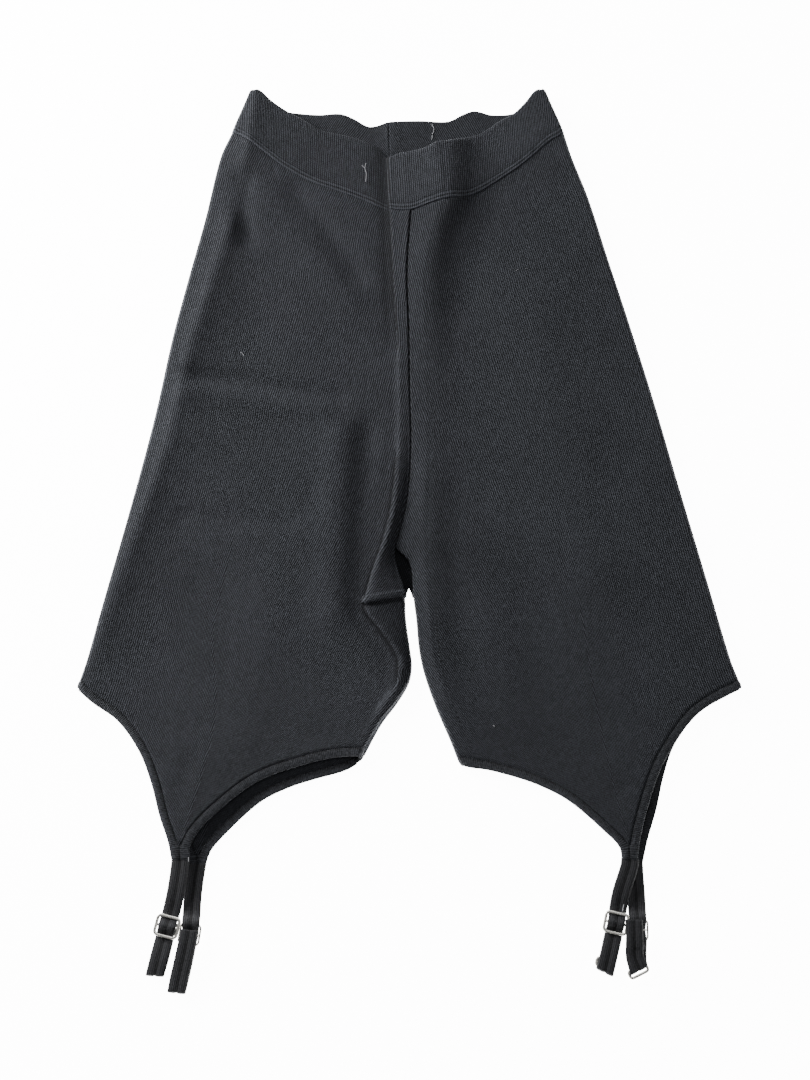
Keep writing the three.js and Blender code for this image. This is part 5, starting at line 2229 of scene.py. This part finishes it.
    def place(self, piece: bpy.types.Object, distance: float, height: float, aside: float,
              turn: float) -> None:
        """Moves a metal piece's mesh to its seat on the strap.

        Args:
            piece: the metal piece at the origin.
            distance: distance down the strap.
            height: height of its middle.
            aside: distance to the left of the strap's line.
            turn: its turn from the strap's line, in radians.
        """
        (x, y), (tx, ty) = self.frame(distance)
        angle = math.atan2(ty, tx) + math.pi / 2 + turn
        spot = Vector((x - ty * aside, y + tx * aside, height)) * MM
        piece.data.transform(Matrix.Translation(spot) @ Matrix.Rotation(angle, 4, "Z"))
        piece.data.update()


def turn_outwards(piece: bpy.types.Object) -> None:
    """Merges a mesh's doubles and points all its faces outwards.

    Args:
        piece: the object whose mesh is changed.
    """
    work = bmesh.new()
    work.from_mesh(piece.data)
    bmesh.ops.remove_doubles(work, verts=work.verts, dist=1e-7)
    bmesh.ops.recalc_face_normals(work, faces=work.faces)
    work.to_mesh(piece.data)
    work.free()


def pick_alone(piece: bpy.types.Object) -> None:
    """Selects one object and makes it the active one.

    Args:
        piece: the object.
    """
    bpy.ops.object.select_all(action="DESELECT")
    piece.select_set(True)
    bpy.context.view_layer.objects.active = piece


@dataclass
class MetalFrame:
    """A flat frame of rounded metal bars, modelled from a plate."""

    width: float
    length: float
    middle_bar: bool
    bar: float = METAL.bar
    corner_steps: int = 6

    def build(self, name: str) -> bpy.types.Object:
        """Makes the frame at the origin.

        Args:
            name: the object's name.

        Returns:
            The frame's object, lying flat with its middle at z = 0.
        """
        plate = self._plate(self.width + METAL.fuller * 2, self.length + METAL.fuller)
        plate.name = name
        plate.data.name = name
        corner = min(METAL.corner, self.length * METAL.corner_share)
        bpy.ops.mesh.bevel(offset=corner * MM, segments=self.corner_steps, affect="VERTICES")
        bpy.ops.mesh.select_all(action="SELECT")
        bpy.ops.mesh.inset(thickness=(self.bar + METAL.fuller) * MM)
        bpy.ops.mesh.delete(type="ONLY_FACE")
        bpy.ops.object.mode_set(mode="OBJECT")
        bar = self._bar() if self.middle_bar else None
        self._thicken(plate)
        if bar:
            pick_alone(plate)
            bar.select_set(True)
            bpy.ops.object.join()
        return plate

    @staticmethod
    def _plate(width: float, length: float) -> bpy.types.Object:
        """Starts a flat plate at the origin and leaves all of it selected in edit mode.

        Args:
            width: its size across.
            length: its size along.

        Returns:
            The plate.
        """
        bpy.ops.object.select_all(action="DESELECT")
        bpy.ops.mesh.primitive_plane_add(size=1, location=(0, 0, 0))
        bpy.ops.object.mode_set(mode="EDIT")
        bpy.ops.mesh.select_all(action="SELECT")
        bpy.ops.transform.resize(value=(width * MM, length * MM, 1))
        return bpy.context.active_object

    def _bar(self) -> bpy.types.Object:
        """Makes the straight bar across the frame's middle.

        Returns:
            The bar, a little thinner than the frame.
        """
        bar = self._plate(self.width - self.bar * METAL.bar_inset, self.bar)
        bpy.ops.object.mode_set(mode="OBJECT")
        self._thicken(bar, METAL.bar_share)
        return bar

    def _thicken(self, plate: bpy.types.Object, share: float = 1.0) -> None:
        """Gives a flat face its thickness and rounds its edges.

        Args:
            plate: the flat piece.
            share: share of the metal's full thickness.
        """
        pick_alone(plate)
        wall = plate.modifiers.new("thickness", "SOLIDIFY")
        wall.thickness = METAL.thick * MM * share
        wall.offset = 0
        bpy.ops.object.modifier_apply(modifier=wall.name)
        edge = plate.modifiers.new("rounding", "BEVEL")
        edge.width = METAL.thick * MM * METAL.rounding * share
        edge.segments = 4
        edge.limit_method = "ANGLE"
        edge.angle_limit = math.radians(50)
        bpy.ops.object.modifier_apply(modifier=edge.name)
        turn_outwards(plate)
        bpy.ops.object.shade_smooth_by_angle(angle=math.radians(40))


class Stray(NamedTuple):
    """A stray thread or bit of lint: its plan points, height and half thickness."""

    points: tuple[Point, ...]
    height: float
    radius: float


STRAYS = (
    Stray(((-31.6, 263.7), (-32.4, 259.5), (-31.4, 255.2), (-31.8, 248.9)), 7.3, 0.17),
    Stray(((-32.3, 259.3), (-34.6, 261.8)), 7.3, 0.14),
    Stray(((16.9, 295.8), (18.4, 292), (17.4, 288.2), (16.8, 284)), 3.0, 0.17),
    Stray(((-108.2, 241.4), (-107.5, 239.6), (-106.9, 238.1)), 7.0, 0.14),
    Stray(((-121, 119.6), (-119.4, 118.6), (-118.6, 116.8)), 6.4, 0.15),
    Stray(((77.4, 181.3), (79, 181.9)), 6.4, 0.12),
    Stray(((84.2, 182.4), (85.4, 182.8)), 6.4, 0.12),
    Stray(((57.8, -146.2), (58.4, -147.4)), 6.3, 0.26),
    Stray(((-149.4, -234.9), (-149.3, -238.2)), 7.2, 0.22),
    Stray(((144.5, -266.2), (143.9, -268.6), (143.5, -271)), 4.6, 0.2),
)


@dataclass
class StrayThreads:
    """The pale threads and lint that lie on the cloth."""

    sides: int = 6

    def build(self, finishes: Finishes) -> bpy.types.Object:
        """Makes all the threads as one piece and joins it to the frame.

        Args:
            finishes: the garment's finishes.

        Returns:
            The threads' object.
        """
        work = bmesh.new()
        for stray in STRAYS:
            self._thread(work, stray)
        mesh = bpy.data.meshes.new("stray_threads")
        work.to_mesh(mesh)
        work.free()
        piece = smooth_piece(mesh)
        turn_outwards(piece)
        return seat(piece, finishes.thread, "knit")

    def _thread(self, work: bmesh.types.BMesh, stray: Stray) -> None:
        """Adds one thread as a thin closed tube.

        Args:
            work: the mesh that is being made.
            stray: the thread's cut.
        """
        curve = PlanCurve(stray.points)
        steps = max(3, round(curve.length / 0.8))
        rings = []
        for k in range(steps + 1):
            (x, y), (tx, ty) = curve.frame(k / steps)
            radius = stray.radius * (0.55 if k in (0, steps) else 1.0)
            ring = []
            for c in range(self.sides):
                angle = 2 * math.pi * c / self.sides
                aside, up = math.cos(angle) * radius, math.sin(angle) * radius
                place = Vector((x - ty * aside, y + tx * aside, stray.height + up))
                ring.append(work.verts.new(place * MM))
            rings.append(ring)
        for a, b in zip(rings, rings[1:]):
            for c in range(self.sides):
                d = (c + 1) % self.sides
                work.faces.new((a[c], a[d], b[d], b[c]))
        work.faces.new(rings[0])
        work.faces.new(list(reversed(rings[-1])))


@dataclass
class Studio:
    """The surface, the lights and the camera."""

    target: Vector = field(default_factory=lambda: Vector((-0.003, -0.016, 0.0)))
    elevation: float = 80.0
    distance: float = 1.059
    lens: float = 50.0
    film: float = 36.0
    room_light: float = 0.17

    def build(self) -> None:
        """Sets up everything that isn't the garment."""
        self._surface()
        self._camera()
        self._light("key", (-1.45, 0.85, 0.52), 0.7, 112.0)
        self._light("soft top", (0.0, 0.32, 1.45), 0.9, 9.0)
        world = bpy.data.worlds.new("room")
        world.use_nodes = True
        backdrop = world.node_tree.nodes["Background"]
        backdrop.inputs["Color"].default_value = WHITE
        backdrop.inputs["Strength"].default_value = self.room_light
        bpy.context.scene.world = world

    def _surface(self) -> None:
        """Lays the plain white surface under the garment."""
        bpy.ops.object.select_all(action="DESELECT")
        bpy.ops.mesh.primitive_plane_add(size=8, location=(0, 0, -0.0003))
        surface = bpy.context.active_object
        surface.name = "surface"
        surface.data.materials.append(FloorFinish().material())

    def _camera(self) -> None:
        """Places the camera at the photograph's angle."""
        lens = bpy.data.cameras.new("camera")
        lens.lens = self.lens
        lens.sensor_fit = "VERTICAL"
        lens.sensor_height = self.film
        camera = bpy.data.objects.new("camera", lens)
        bpy.context.scene.collection.objects.link(camera)
        lift = math.radians(self.elevation)
        way = Vector((0, -math.cos(lift), math.sin(lift)))
        camera.location = self.target + way * self.distance
        camera.rotation_euler = (math.pi / 2 - lift, 0, 0)
        bpy.context.scene.camera = camera

    def _light(self, name: str, place: tuple[float, float, float], size: float, power: float) -> None:
        """Adds one soft light that points at the garment.

        Args:
            name: the light's name.
            place: where it stands, in metres.
            size: its width in metres.
            power: its power in watts.
        """
        lamp = bpy.data.lights.new(name, "AREA")
        lamp.size = size
        lamp.energy = power
        holder = bpy.data.objects.new(name, lamp)
        bpy.context.scene.collection.objects.link(holder)
        holder.location = place
        holder.rotation_euler = (self.target - holder.location).to_track_quat("-Z", "Y").to_euler()


def main() -> None:
    """Builds the garment round the frame, piece by piece."""
    logging.basicConfig(level=logging.INFO, format="%(message)s")
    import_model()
    Studio().build()
    finishes = Finishes()
    resolution = Resolution()
    forms = [SideForm(cut, resolution) for cut in (LEFT, RIGHT)]
    legs = [LegPanel(form, resolution) for form in forms]
    band = Waistband(*forms)
    band_piece = band.build(finishes)
    for form, leg in zip(forms, legs):
        leg_piece = leg.build(finishes)
        hems = HemBindings(form).build(finishes)
    straps = {cut.name: GarterStrap(cut) for cut in STRAPS}
    for strap in straps.values():
        strap.tape(finishes)
        strap.slider(finishes)
    for ring in RINGS:
        straps[ring.strap].ring(ring, finishes)
    StrayThreads().build(finishes)
    LOG.info("garment finished")


if __name__ == "__main__":
    main()
